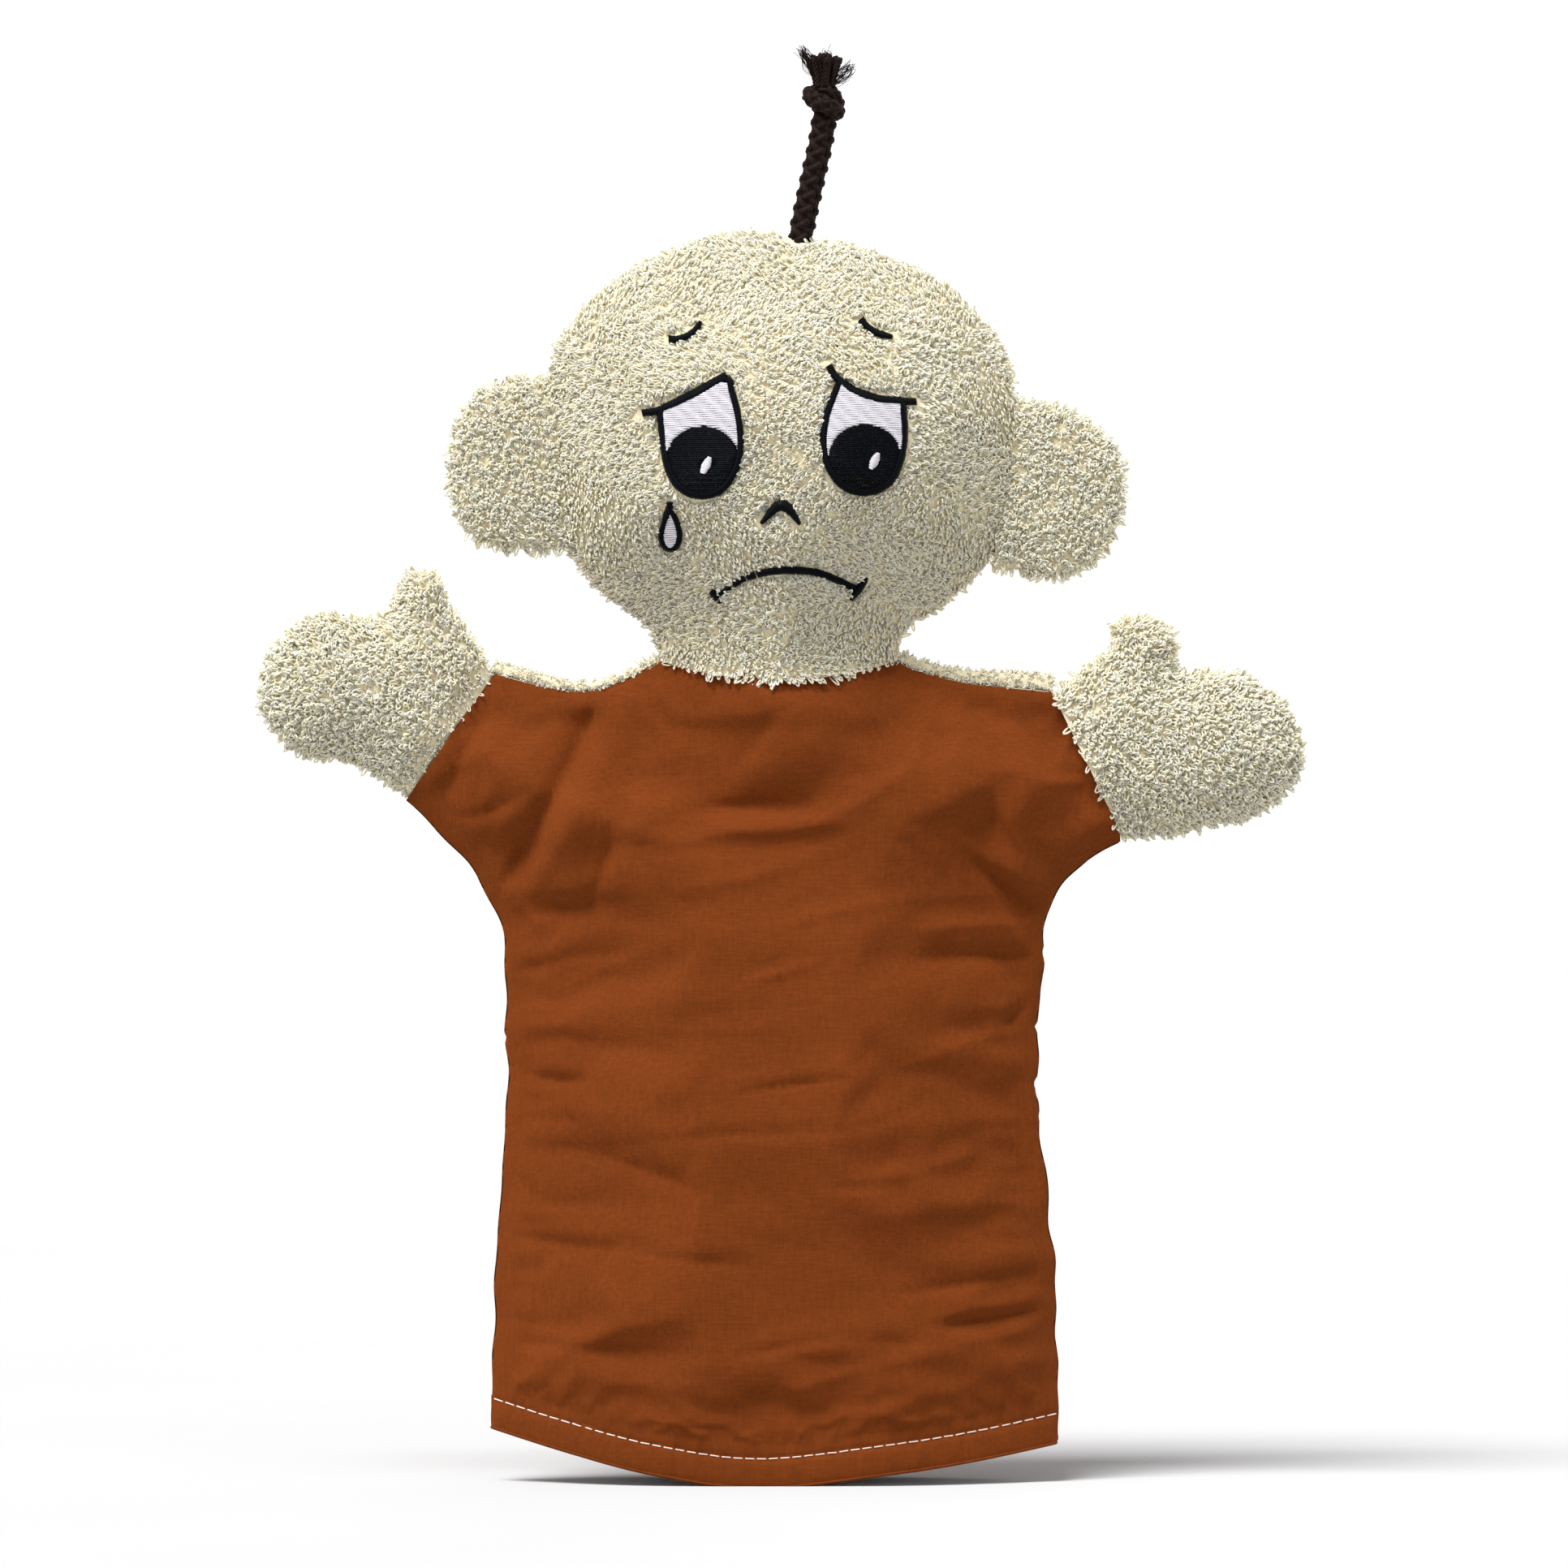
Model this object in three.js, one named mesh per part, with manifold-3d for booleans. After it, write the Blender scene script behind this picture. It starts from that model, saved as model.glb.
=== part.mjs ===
// Hand puppet: a stuffed terry-cloth head with ears and an embroidered face, terry mitten hands,
// a woven cotton body that is open at the hem, and a knotted braided cord for hair.
// Millimetres, +Z up. The origin is the middle of the hand opening, level with the hem's lowest
// point. The face looks along -Y, and +X is the puppet's own left.
// Outlines are [x, z] points in the front view. The cloth's halves meet at the plane y = 0.
import * as THREE from "three";
import { mergeVertices } from "three/addons/utils/BufferGeometryUtils.js";
import Module from "manifold-3d";

// Cloth and clearances
const COTTON = 1.0; // the woven cotton and its seam allowance
const TERRY = 3.2; // terry cloth with its loops
const SEAM_GAP = 0.15; // each half stands this far off the plane y = 0
const GAP = 0.3; // between neighbouring pieces
const JOINT_GAP = 0.5; // between pieces that turn past each other
const LAP = 12; // how far an open shape is drawn past its opening before it is trimmed there

// How far the cloth stands off the seam plane, how far in from a seam it gets there, and the
// width and height of the mesh cells that it is made of
const BODY_PUFF = { depth: 21, rise: 46, cell: [11, 17] };
const HEAD_PUFF = { depth: 28, rise: 46, cell: [10, 10] };
const HAND_PUFF = { depth: 6, rise: 15, cell: [8, 8] };
const EAR_PUFF = { depth: 2, rise: 12, cell: [9, 9] };

// Body outline
const HEM = [[-66.5, 13], [-48, 7.8], [-28, 3], [-4, 0], [26, 3.2], [46, 6], [65.4, 9.5]];
const RIGHT_SIDE = [[-66.5, 13], [-65.3, 55], [-62.6, 98], [-64.6, 130], [-75, 147], [-86.3, 158.3]];
const LEFT_SIDE = [
  [65.4, 9.5], [64.3, 50], [60.8, 84], [60.4, 102], [63, 132], [71, 143.6], [80.5, 148.9],
];
const RIGHT_SHOULDER = [[-65.6, 187.9], [-50.5, 184.5], [-39, 185], [-27.5, 190.5]];
const LEFT_SHOULDER = [[63.5, 183.8], [47, 185.5], [36.2, 187.5], [28.5, 190.5]];
const YOKE_Z = 170; // the terry yoke covers the back from here up to the shoulder seams
const HEM_STITCH = { up: 6.4, height: 0.8, proud: 0.6 };

// Head outline, from the right of the neck over the top to its left
const HEAD = [
  [-26.2, 183], [-26.2, 191], [-30.5, 198], [-42, 207.8], [-50, 219], [-52.6, 238], [-51.4, 262],
  [-42.6, 276], [-24, 286.6], [-4, 290.2], [20, 286.4], [40, 278], [51.4, 264], [56.8, 246], [54, 222],
  [45.5, 208.3], [32, 198.5], [27.6, 191.5], [27.6, 183],
];
const NECK_SLIM = { share: 0.68, from: 187, to: 222 }; // share of the depth left at the neck
const NECK = { z: 163.5, radius: 28 }; // the head turns about this height, on a round collar

// Ears: the free edge from the top of the root round to its bottom
const EARS = {
  right: [[-52.6, 256.5], [-63, 256.2], [-72.5, 251], [-76.9, 236], [-73.5, 221.5], [-64, 216.3],
    [-51.2, 216]],
  left: [[58.6, 251.5], [69, 249], [78.5, 240.5], [81, 229], [76, 215.5], [65.5, 209.8], [54.4, 211]],
};
const EAR_ROOT_X = { right: -40, left: 46 };

// Hands: the free edge from the top of the wrist over the thumb and round to its bottom
const HANDS = {
  right: [[-65.6, 187.9], [-70.5, 196], [-76, 202.5], [-78.5, 210], [-86, 210.6], [-89.6, 203],
    [-94, 200.8], [-108, 201.2], [-118, 192.5], [-119.5, 179], [-111, 169], [-98, 167], [-86.3, 158.3]],
  left: [[63.5, 183.8], [70, 188.5], [76.3, 193], [79, 200], [87, 201.4], [92.2, 196], [93.4, 189],
    [106, 188.4], [118.5, 179.5], [121.4, 166], [112, 155.5], [98, 151.5], [80.5, 148.9]],
};
const WRIST_RADIUS = 9.9; // the round inner end of a hand, about its wrist seam
const SLEEVE_SHORT = 5; // a sleeve ends this far before the wrist seam, to let the hand fold
const WRIST_TUCK = 12; // how far a hand's outline runs into its sleeve

// Arms: each turns in the front view about its shoulder point
const SHOULDERS = { right: [-50, 161], left: [49.5, 160.5] };
const SHOULDER_RADIUS = 24.5;
const ARM_UP = 12; // degrees
const ARM_DOWN = 25;
const SLEEVE_FROM = -33; // degrees above the level line at the shoulder
const SLEEVE_TO = 80;

// Finger tube
const TUBE = { x: 1, outer: 11, wall: 1.2, top: 246 };

// Hair cord, its overhand knot and the frayed tuft above it
const CORD = { radius: 3.05, sides: 10, steps: 3 };
const CORD_ROUTE = [[5.4, 0, 291.3], [7, 0, 301], [9.6, 0, 311], [10.8, 0, 316.7]];
const KNOT = { radius: 5.2, at: [10.9, 0, 321.1], halfHeight: 4.1 };
const TUFT = { foot: 2.3, top: 6.2, from: 325.6, to: 332.8, x: 11 };

// Embroidery
const THREAD = 0.8; // how far it stands proud of the pile
const LINE = 1.3; // width of a satin-stitched line
const EYES = {
  right: {
    rim: [[-26.3, 247.9], [-19.5, 250], [-11.4, 255.6], [-9.3, 246], [-8.9, 237], [-12.6, 230.4],
      [-17.6, 228.9], [-22.6, 231.4], [-25.3, 238.5]],
    lid: [[-30.6, 247.7], [-25, 248.3], [-18, 250.8], [-10.7, 256.6]],
    pupil: [-17.3, 236.4],
    glint: [-16.4, 235.6],
    brow: [[-25, 264.7], [-21, 265.6], [-18, 268.4]],
  },
  left: {
    rim: [[13.9, 254.6], [19.5, 251.6], [29.8, 249.8], [29.2, 238.5], [25.9, 232.3], [19.6, 229.6],
      [13.6, 232.8], [10.9, 239], [11.3, 246.5]],
    lid: [[12.2, 257.4], [15.4, 253.7], [22, 250.9], [31.9, 250.3]],
    pupil: [20.3, 237.3],
    glint: [22.4, 236.2],
    brow: [[19.4, 269], [22.4, 266.4], [26, 265.4]],
  },
};
const PUPIL = [7.4, 7.1]; // half width and half height
const GLINT = [0.8, 1.5];
const GLINT_LEAN = 15; // degrees
const NOSE = [[-3.9, 222.3], [-1.2, 225], [1.2, 226.3], [3.2, 224.8], [4.9, 222.4]];
const NOSE_LINE = 1.5;
const MOUTH = [[-14, 205.4], [-9, 208.8], [-1, 211], [7.4, 211.2], [13.5, 208.9], [17.6, 206.4]];
const TEAR = [[-24.8, 225.4], [-27, 220.5], [-25, 216.2], [-22.7, 219.6], [-23.6, 223.4]];
const TEAR_LINE = 1;

const COLOURS = {
  terry: { color: 0xe4dcb8, roughness: 0.95 },
  cotton: { color: 0x8a4519, roughness: 0.85 },
  cord: { color: 0x2c201d, roughness: 0.9 },
  paleThread: { color: 0xe8cbc0, roughness: 0.6 },
  blackThread: { color: 0x0d1218, roughness: 0.5 },
  whiteThread: { color: 0xdad8dc, roughness: 0.5 },
  fibre: { color: 0xf2f0ea, roughness: 1 },
  card: { color: 0xc9b48c, roughness: 0.9 },
};

const LONG = 160; // longer than any cut needs to be

const wasm = await Module();
wasm.setup();

const puppet = new THREE.Group();

// ---- Curves ----------------------------------------------------------------------------------

const radians = THREE.MathUtils.degToRad;

function vectors(points) {
  return points.map(([x, z]) => new THREE.Vector2(x, z));
}

function spline(points, steps) {
  return new THREE.SplineCurve(vectors(points)).getSpacedPoints(steps).map((p) => [p.x, p.y]);
}

function closedSpline(points, steps) {
  const flat = points.map(([x, z]) => new THREE.Vector3(x, z, 0));
  const curve = new THREE.CatmullRomCurve3(flat, true, "centripetal");
  return curve.getSpacedPoints(steps).slice(0, -1).map((p) => [p.x, p.y]);
}

function ellipse([x, z], [halfWidth, halfHeight], sides = 24, lean = 0) {
  const curve = new THREE.EllipseCurve(x, z, halfWidth, halfHeight, 0, 2 * Math.PI, false, radians(lean));
  return curve.getPoints(sides).slice(0, -1).map((p) => [p.x, p.y]);
}

// The direction from one point to another, as a unit vector.
function heading(before, after) {
  return new THREE.Vector2(after[0] - before[0], after[1] - before[1]).normalize();
}

// A closed outline moved outwards by a distance.
function grown(outline, distance) {
  const out = distance * Math.sign(THREE.ShapeUtils.area(vectors(outline)));
  return outline.map(([x, z], i) => {
    const along = heading(outline.at(i - 1), outline[(i + 1) % outline.length]);
    return [x + along.y * out, z - along.x * out];
  });
}

// The outline of a line of the given width that follows a row of points.
function stroke(points, width, steps) {
  const line = spline(points, steps);
  const side = (out) => line.map(([x, z], i) => {
    const along = heading(line[Math.max(0, i - 1)], line[Math.min(steps, i + 1)]);
    return [x + along.y * out, z - along.x * out];
  });
  return [...side(width / 2), ...side(-width / 2).reverse()];
}

function distanceTo(line, x, z) {
  let best = Infinity;
  for (let i = 0; i + 1 < line.length; i++) {
    const [ax, az] = line[i];
    const dx = line[i + 1][0] - ax;
    const dz = line[i + 1][1] - az;
    const along = ((x - ax) * dx + (z - az) * dz) / (dx * dx + dz * dz);
    const t = THREE.MathUtils.clamp(along, 0, 1);
    best = Math.min(best, Math.hypot(x - ax - t * dx, z - az - t * dz));
  }
  return best;
}

function contains(region, x, z) {
  let inside = false;
  region.forEach(([bx, bz], i) => {
    const [ax, az] = region.at(i - 1);
    const crosses = az > z !== bz > z && x < ax + ((bx - ax) * (z - az)) / (bz - az);
    if (crosses) inside = !inside;
  });
  return inside;
}

// Sewn and filled cloth rises from its seams like a sine, up to its full depth. Outside the
// region that the seams bound, the surface goes on falling.
function puffed(seams, region, { depth, rise }) {
  return (x, z) => {
    const away = Math.min(...seams.map((seam) => distanceTo(seam, x, z)));
    const share = (Math.PI / 2) * Math.min(1, away / rise);
    return depth * (contains(region, x, z) ? Math.sin(share) : -share);
  };
}

// ---- Solids ------------------------------------------------------------------------------------

function solidOf(geometry) {
  const bare = geometry.clone();
  bare.deleteAttribute("normal");
  bare.deleteAttribute("uv");
  const merged = mergeVertices(bare, 1e-4);
  const mesh = new wasm.Mesh({
    numProp: 3,
    vertProperties: merged.attributes.position.array,
    triVerts: new Uint32Array(merged.index.array),
  });
  return new wasm.Manifold(mesh);
}

function geometryOf(solid) {
  const mesh = solid.getMesh();
  const points = new Float32Array(mesh.numVert * 3);
  for (let i = 0; i < mesh.numVert; i++) {
    const start = i * mesh.numProp;
    points.set(mesh.vertProperties.subarray(start, start + 3), i * 3);
  }
  const geometry = new THREE.BufferGeometry();
  geometry.setAttribute("position", new THREE.BufferAttribute(points, 3));
  geometry.setIndex(new THREE.BufferAttribute(mesh.triVerts, 1));
  geometry.computeVertexNormals();
  return geometry;
}

function add(name, colour, geometry) {
  const mesh = new THREE.Mesh(geometry, new THREE.MeshStandardMaterial(COLOURS[colour]));
  mesh.name = name;
  puppet.add(mesh);
}

function addSolid(name, colour, solid) {
  add(name, colour, geometryOf(solid));
}

// The closed solid between two heights y over a rectangle of the front view.
function slab([x0, z0, x1, z1], [cellX, cellZ], front, back) {
  const columns = Math.ceil((x1 - x0) / cellX);
  const rows = Math.ceil((z1 - z0) / cellZ);
  const at = (i, j) => j * (columns + 1) + i;
  const layer = at(0, rows + 1);
  const points = [];
  for (const y of [front, back]) {
    for (let j = 0; j <= rows; j++) {
      for (let i = 0; i <= columns; i++) {
        const x = THREE.MathUtils.lerp(x0, x1, i / columns);
        const z = THREE.MathUtils.lerp(z0, z1, j / rows);
        points.push(x, y(x, z), z);
      }
    }
  }
  const index = [];
  for (let j = 0; j < rows; j++) {
    for (let i = 0; i < columns; i++) {
      const [a, b, c, d] = [at(i, j), at(i + 1, j), at(i + 1, j + 1), at(i, j + 1)];
      index.push(a, b, c, a, c, d);
      index.push(layer + a, layer + c, layer + b, layer + a, layer + d, layer + c);
    }
  }
  const wall = (a, b) => index.push(a, layer + a, b, b, layer + a, layer + b);
  for (let i = 0; i < columns; i++) {
    wall(at(i, 0), at(i + 1, 0));
    wall(at(i + 1, rows), at(i, rows));
  }
  for (let j = 0; j < rows; j++) {
    wall(at(columns, j), at(columns, j + 1));
    wall(at(0, j + 1), at(0, j));
  }
  const geometry = new THREE.BufferGeometry();
  geometry.setAttribute("position", new THREE.BufferAttribute(new Float32Array(points), 3));
  geometry.setIndex(index);
  return solidOf(geometry);
}

// A prism on an outline that runs through the whole depth along Y.
function prism(outline) {
  const shape = new THREE.Shape(vectors(outline));
  const geometry = new THREE.ExtrudeGeometry(shape, { depth: LONG, bevelEnabled: false });
  geometry.translate(0, 0, -LONG / 2);
  geometry.rotateX(Math.PI / 2);
  return solidOf(geometry);
}

// A long round bar along a direction, through a point.
function bar(radius, [x, y, z], direction) {
  const geometry = new THREE.CylinderGeometry(radius, radius, LONG, 36);
  const turn = new THREE.Quaternion().setFromUnitVectors(new THREE.Vector3(0, 1, 0), direction);
  geometry.applyQuaternion(turn);
  geometry.translate(x, y, z);
  return solidOf(geometry);
}

// Everything below a height.
function below(z) {
  return prism([[-LONG, -LONG], [LONG, -LONG], [LONG, z], [-LONG, z]]);
}

function boundsOf(outline) {
  const box = new THREE.Box2().setFromPoints(vectors(outline)).expandByScalar(1);
  return [box.min.x, box.min.y, box.max.x, box.max.y];
}

const HALVES = { front: -1, back: 1 };
const OUTWARD = { right: -1, left: 1 };

// Everything on one side of the seam plane, clear of it by the seam gap.
function halfSpace(side) {
  const box = new THREE.BoxGeometry(2 * LONG, LONG, 4 * LONG);
  box.translate(0, side * (LONG / 2 + SEAM_GAP), 0);
  return solidOf(box);
}

// The cloth of one half of a sewn shape, in front (side -1) or behind (side 1).
function cloth(bounds, puff, cell, thickness, side, lift = 0) {
  const near = (x, z) => side * (puff(x, z) + SEAM_GAP + lift);
  const far = (x, z) => near(x, z) + side * thickness;
  const [front, back] = side < 0 ? [far, near] : [near, far];
  return slab(bounds, cell, front, back).intersect(halfSpace(side));
}

function clothHalf(outline, puff, cell, thickness, side) {
  return cloth(boundsOf(outline), puff, cell, thickness, side).intersect(prism(outline));
}

// What fills an outline out to reach(x, z) on both sides of its seam plane.
function filling(outline, cell, reach, bounds = boundsOf(outline)) {
  return slab(bounds, cell, (x, z) => -reach(x, z), () => LONG)
    .intersect(slab(bounds, cell, () => -LONG, reach))
    .intersect(prism(outline));
}

// ---- Body and sleeves --------------------------------------------------------------------------

const hem = spline(HEM, 12);
const sides = { right: spline(RIGHT_SIDE, 14), left: spline(LEFT_SIDE, 14) };
const shoulders = { right: spline(RIGHT_SHOULDER, 5), left: spline(LEFT_SHOULDER, 5) };
const bodyOutline = [
  ...hem,
  ...sides.left.slice(1),
  ...shoulders.left,
  ...shoulders.right.toReversed(),
  ...sides.right.toReversed().slice(0, -1),
];

// Where the body's cloth ends in an opening, its region runs this far past it.
const past = (hand, [x, z]) => [x + wrist(hand).out[0] * LAP, z + wrist(hand).out[1] * LAP];
const lifted = ([x, z], up) => [x, z + up];
const bodyRegion = [
  lifted(hem[0], -2 * LAP),
  lifted(hem.at(-1), -2 * LAP),
  ...sides.left,
  past("left", sides.left.at(-1)),
  past("left", shoulders.left[0]),
  ...shoulders.left,
  lifted(shoulders.left.at(-1), LAP),
  lifted(shoulders.right.at(-1), LAP),
  ...shoulders.right.toReversed(),
  past("right", shoulders.right[0]),
  past("right", sides.right.at(-1)),
  ...sides.right.toReversed(),
];
const bodySeams = [sides.right, sides.left, shoulders.right, shoulders.left];
const bodyPuff = puffed(bodySeams, bodyRegion, BODY_PUFF);

// A fan of the front view from an arm's shoulder point, between two angles above the level line.
function armFan(hand, from, to) {
  const [x, z] = SHOULDERS[hand];
  const steps = 6;
  const fan = [[x, z]];
  for (let i = 0; i <= steps; i++) {
    const angle = radians(THREE.MathUtils.lerp(from, to, i / steps));
    fan.push([x + OUTWARD[hand] * LONG * Math.cos(angle), z + LONG * Math.sin(angle)]);
  }
  return prism(fan);
}

function shoulderDisc(hand, radius) {
  return prism(ellipse(SHOULDERS[hand], [radius, radius], 36));
}

// The wrist seam's middle and direction, and the direction out along the arm.
function wrist(hand) {
  const top = HANDS[hand][0];
  const bottom = HANDS[hand].at(-1);
  const up = heading(bottom, top);
  return {
    at: [(top[0] + bottom[0]) / 2, 0, (top[1] + bottom[1]) / 2],
    up: new THREE.Vector3(up.x, 0, up.y),
    out: [OUTWARD[hand] * up.y, -OUTWARD[hand] * up.x],
  };
}

// Everything on the hand's side of a line along the wrist seam, some way before or past it.
function beyondWrist(hand, from = 0) {
  const { at, up, out } = wrist(hand);
  const corner = (along, away) => [
    at[0] + up.x * along + out[0] * away,
    at[2] + up.z * along + out[1] * away,
  ];
  return prism([corner(-LONG, from), corner(-LONG, LONG), corner(LONG, LONG), corner(LONG, from)]);
}

function wristBar(hand, radius) {
  const { at, up } = wrist(hand);
  return bar(radius, at, up);
}

function neckBar(radius) {
  return bar(radius, [0, 0, NECK.z], new THREE.Vector3(1, 0, 0));
}

function sleeve(panel, hand) {
  const region = shoulderDisc(hand, SHOULDER_RADIUS).add(armFan(hand, SLEEVE_FROM, SLEEVE_TO));
  return panel
    .intersect(region)
    .subtract(beyondWrist(hand, -SLEEVE_SHORT))
    .subtract(wristBar(hand, WRIST_RADIUS + JOINT_GAP));
}

function trunk(panel) {
  let rest = panel.intersect(below(NECK.z).add(neckBar(NECK.radius - JOINT_GAP)));
  for (const hand of ["right", "left"]) {
    rest = rest.subtract(shoulderDisc(hand, SHOULDER_RADIUS + JOINT_GAP));
    rest = rest.subtract(armFan(hand, SLEEVE_FROM - ARM_DOWN - 1, SLEEVE_TO + ARM_UP + 1));
  }
  return rest;
}

function makeBody() {
  const front = clothHalf(bodyOutline, bodyPuff, BODY_PUFF.cell, COTTON, HALVES.front);
  const back = clothHalf(bodyOutline, bodyPuff, BODY_PUFF.cell, COTTON, HALVES.back);
  const cotton = below(YOKE_Z - GAP / 2);
  const underYoke = below(YOKE_Z + GAP / 2);
  addSolid("body_front_panel", "cotton", trunk(front));
  addSolid("body_back_panel", "cotton", trunk(back).intersect(cotton));
  addSolid("back_shoulder_yoke", "terry", trunk(back).subtract(underYoke));
  for (const hand of ["left", "right"]) {
    addSolid(`${hand}_sleeve_front`, "cotton", sleeve(front, hand));
    addSolid(`${hand}_sleeve_back`, "cotton", sleeve(back, hand).intersect(cotton));
    addSolid(`${hand}_sleeve_yoke`, "terry", sleeve(back, hand).subtract(underYoke));
  }
}

// The row of stitches that holds the turned-up hem, as a thin band right round the body.
function makeHemStitching() {
  const inner = SEAM_GAP + COTTON + GAP / 2;
  const outer = inner + HEM_STITCH.proud;
  const row = (out) => {
    const line = HEM.map(([x, z]) => [x, z + HEM_STITCH.up]);
    line[0][0] -= out;
    line.at(-1)[0] += out;
    return line;
  };
  const band = stroke(row(outer), HEM_STITCH.height, 16);
  const hole = stroke(row(GAP), HEM_STITCH.height * 3, 16);
  const bounds = boundsOf(bodyOutline);
  const ring = filling(band, BODY_PUFF.cell, (x, z) => bodyPuff(x, z) + outer, bounds);
  const inside = filling(hole, BODY_PUFF.cell, (x, z) => bodyPuff(x, z) + inner, bounds);
  addSolid("hem_stitching", "paleThread", ring.subtract(inside));
}

// ---- Hands ---------------------------------------------------------------------------------------

function makeHand(hand) {
  const { out } = wrist(hand);
  const tucked = ([x, z], by) => [x - out[0] * by, z - out[1] * by];
  const free = spline(HANDS[hand], 28);
  const seam = [tucked(free[0], WRIST_TUCK), ...free, tucked(free.at(-1), WRIST_TUCK)];
  const region = [tucked(free[0], WRIST_TUCK + LAP), ...free, tucked(free.at(-1), WRIST_TUCK + LAP)];
  const puff = puffed([seam], region, HAND_PUFF);
  const kept = beyondWrist(hand).add(wristBar(hand, WRIST_RADIUS));
  for (const [half, side] of Object.entries(HALVES)) {
    const panel = clothHalf(seam, puff, HAND_PUFF.cell, TERRY, side);
    addSolid(`${hand}_hand_${half}`, "terry", panel.intersect(kept));
  }
}

// ---- Head ----------------------------------------------------------------------------------------

const headOutline = spline(HEAD, 40);
const headSeam = headOutline.filter(([, z]) => z > NECK_SLIM.from);
const headRegion = [lifted(headOutline[0], -LAP), ...headOutline, lifted(headOutline.at(-1), -LAP)];
const headRound = puffed([headSeam], headRegion, HEAD_PUFF);

function headPuff(x, z) {
  const { share, from, to } = NECK_SLIM;
  return headRound(x, z) * THREE.MathUtils.lerp(share, 1, THREE.MathUtils.smoothstep(z, from, to));
}

function makeHead() {
  for (const [half, side] of Object.entries(HALVES)) {
    const panel = clothHalf(headOutline, headPuff, HEAD_PUFF.cell, TERRY, side);
    addSolid(`head_${half}_panel`, "terry", panel.subtract(neckBar(NECK.radius)));
  }
}

function tubeBar(radius, top) {
  return bar(radius, [TUBE.x, 0, top - LONG / 2], new THREE.Vector3(0, 0, 1));
}

function makeHeadInside() {
  const neck = neckBar(NECK.radius + GAP).add(below(NECK.z));
  const tube = tubeBar(TUBE.outer, TUBE.top).subtract(tubeBar(TUBE.outer - TUBE.wall, TUBE.top + 1));
  addSolid("finger_tube", "card", tube.subtract(neck));
  const bounds = boundsOf(headOutline);
  const reach = (x, z) => headPuff(x, z) - GAP;
  const stuffing = filling(grown(headOutline, -1), HEAD_PUFF.cell, reach, bounds)
    .subtract(neck)
    .subtract(tubeBar(TUBE.outer + GAP, TUBE.top + GAP));
  addSolid("head_stuffing", "fibre", stuffing);
}

function makeEar(hand) {
  const free = spline(EARS[hand], 12);
  const rootX = EAR_ROOT_X[hand];
  const outline = [...free, [rootX, free.at(-1)[1]], [rootX, free[0][1]]];
  const puff = puffed([free], outline, EAR_PUFF);
  const head = prism(grown(headOutline, GAP));
  for (const [half, side] of Object.entries(HALVES)) {
    const panel = clothHalf(outline, puff, EAR_PUFF.cell, TERRY, side);
    addSolid(`${hand}_ear_${half}`, "terry", panel.subtract(head));
  }
}

// ---- Embroidered face ----------------------------------------------------------------------------

const stitches = cloth(boundsOf(headOutline), headPuff, HEAD_PUFF.cell, THREAD, HALVES.front, TERRY + GAP);

// A field of stitches on the front of the head, on an outline with optional holes.
function embroidery(outline, holes = []) {
  const field = stitches.intersect(prism(outline));
  return holes.reduce((rest, hole) => rest.subtract(prism(hole)), field);
}

function makeEye(hand) {
  const { rim, lid, pupil, glint, brow } = EYES[hand];
  const outline = closedSpline(rim, 24);
  const pupilEdge = ellipse(pupil, PUPIL, 18);
  const glintEdge = ellipse(glint, GLINT, 10, GLINT_LEAN);
  const lidEdge = stroke(lid, LINE, 8);
  const black = embroidery(grown(outline, LINE / 2), [grown(outline, -LINE / 2)])
    .add(embroidery(pupilEdge).intersect(prism(outline)))
    .add(embroidery(lidEdge))
    .subtract(prism(grown(glintEdge, GAP)));
  const white = embroidery(grown(outline, -LINE / 2 - GAP), [grown(pupilEdge, GAP)])
    .subtract(prism(grown(lidEdge, GAP)))
    .subtract(below(pupil[1] - 1));
  addSolid(`${hand}_eye_outline`, "blackThread", black);
  addSolid(`${hand}_eye_white`, "whiteThread", white);
  addSolid(`${hand}_eye_glint`, "whiteThread", embroidery(glintEdge));
  addSolid(`${hand}_eyebrow`, "blackThread", embroidery(stroke(brow, LINE, 6)));
}

function makeFace() {
  makeEye("left");
  makeEye("right");
  addSolid("nose", "blackThread", embroidery(stroke(NOSE, NOSE_LINE, 8)));
  addSolid("mouth", "blackThread", embroidery(stroke(MOUTH, LINE, 14)));
  const tear = closedSpline(TEAR, 20);
  const inner = grown(tear, -TEAR_LINE / 2);
  addSolid("teardrop_outline", "blackThread", embroidery(grown(tear, TEAR_LINE / 2), [inner]));
  addSolid("teardrop_fill", "whiteThread", embroidery(grown(inner, -GAP)));
}

// ---- Hair ----------------------------------------------------------------------------------------

function makeHair() {
  const route = new THREE.CatmullRomCurve3(CORD_ROUTE.map((point) => new THREE.Vector3(...point)));
  const section = new THREE.Shape(vectors(ellipse([0, 0], [CORD.radius, CORD.radius], CORD.sides)));
  add("hair_cord", "cord", new THREE.ExtrudeGeometry(section, {
    extrudePath: route,
    steps: CORD.steps,
    bevelEnabled: false,
  }));
  const knot = new THREE.SphereGeometry(KNOT.radius, 16, 10);
  knot.rotateX(Math.PI / 2);
  knot.scale(1, 1, KNOT.halfHeight / KNOT.radius);
  knot.translate(...KNOT.at);
  add("hair_knot", "cord", knot);
  const height = TUFT.to - TUFT.from;
  const tuft = new THREE.CylinderGeometry(TUFT.top, TUFT.foot, height, 14);
  tuft.rotateX(Math.PI / 2);
  tuft.translate(TUFT.x, 0, TUFT.from + height / 2);
  add("hair_tuft", "cord", tuft);
}

makeBody();
makeHemStitching();
makeHand("left");
makeHand("right");
makeHead();
makeHeadInside();
makeEar("left");
makeEar("right");
makeFace();
makeHair();

export default puppet;
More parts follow.
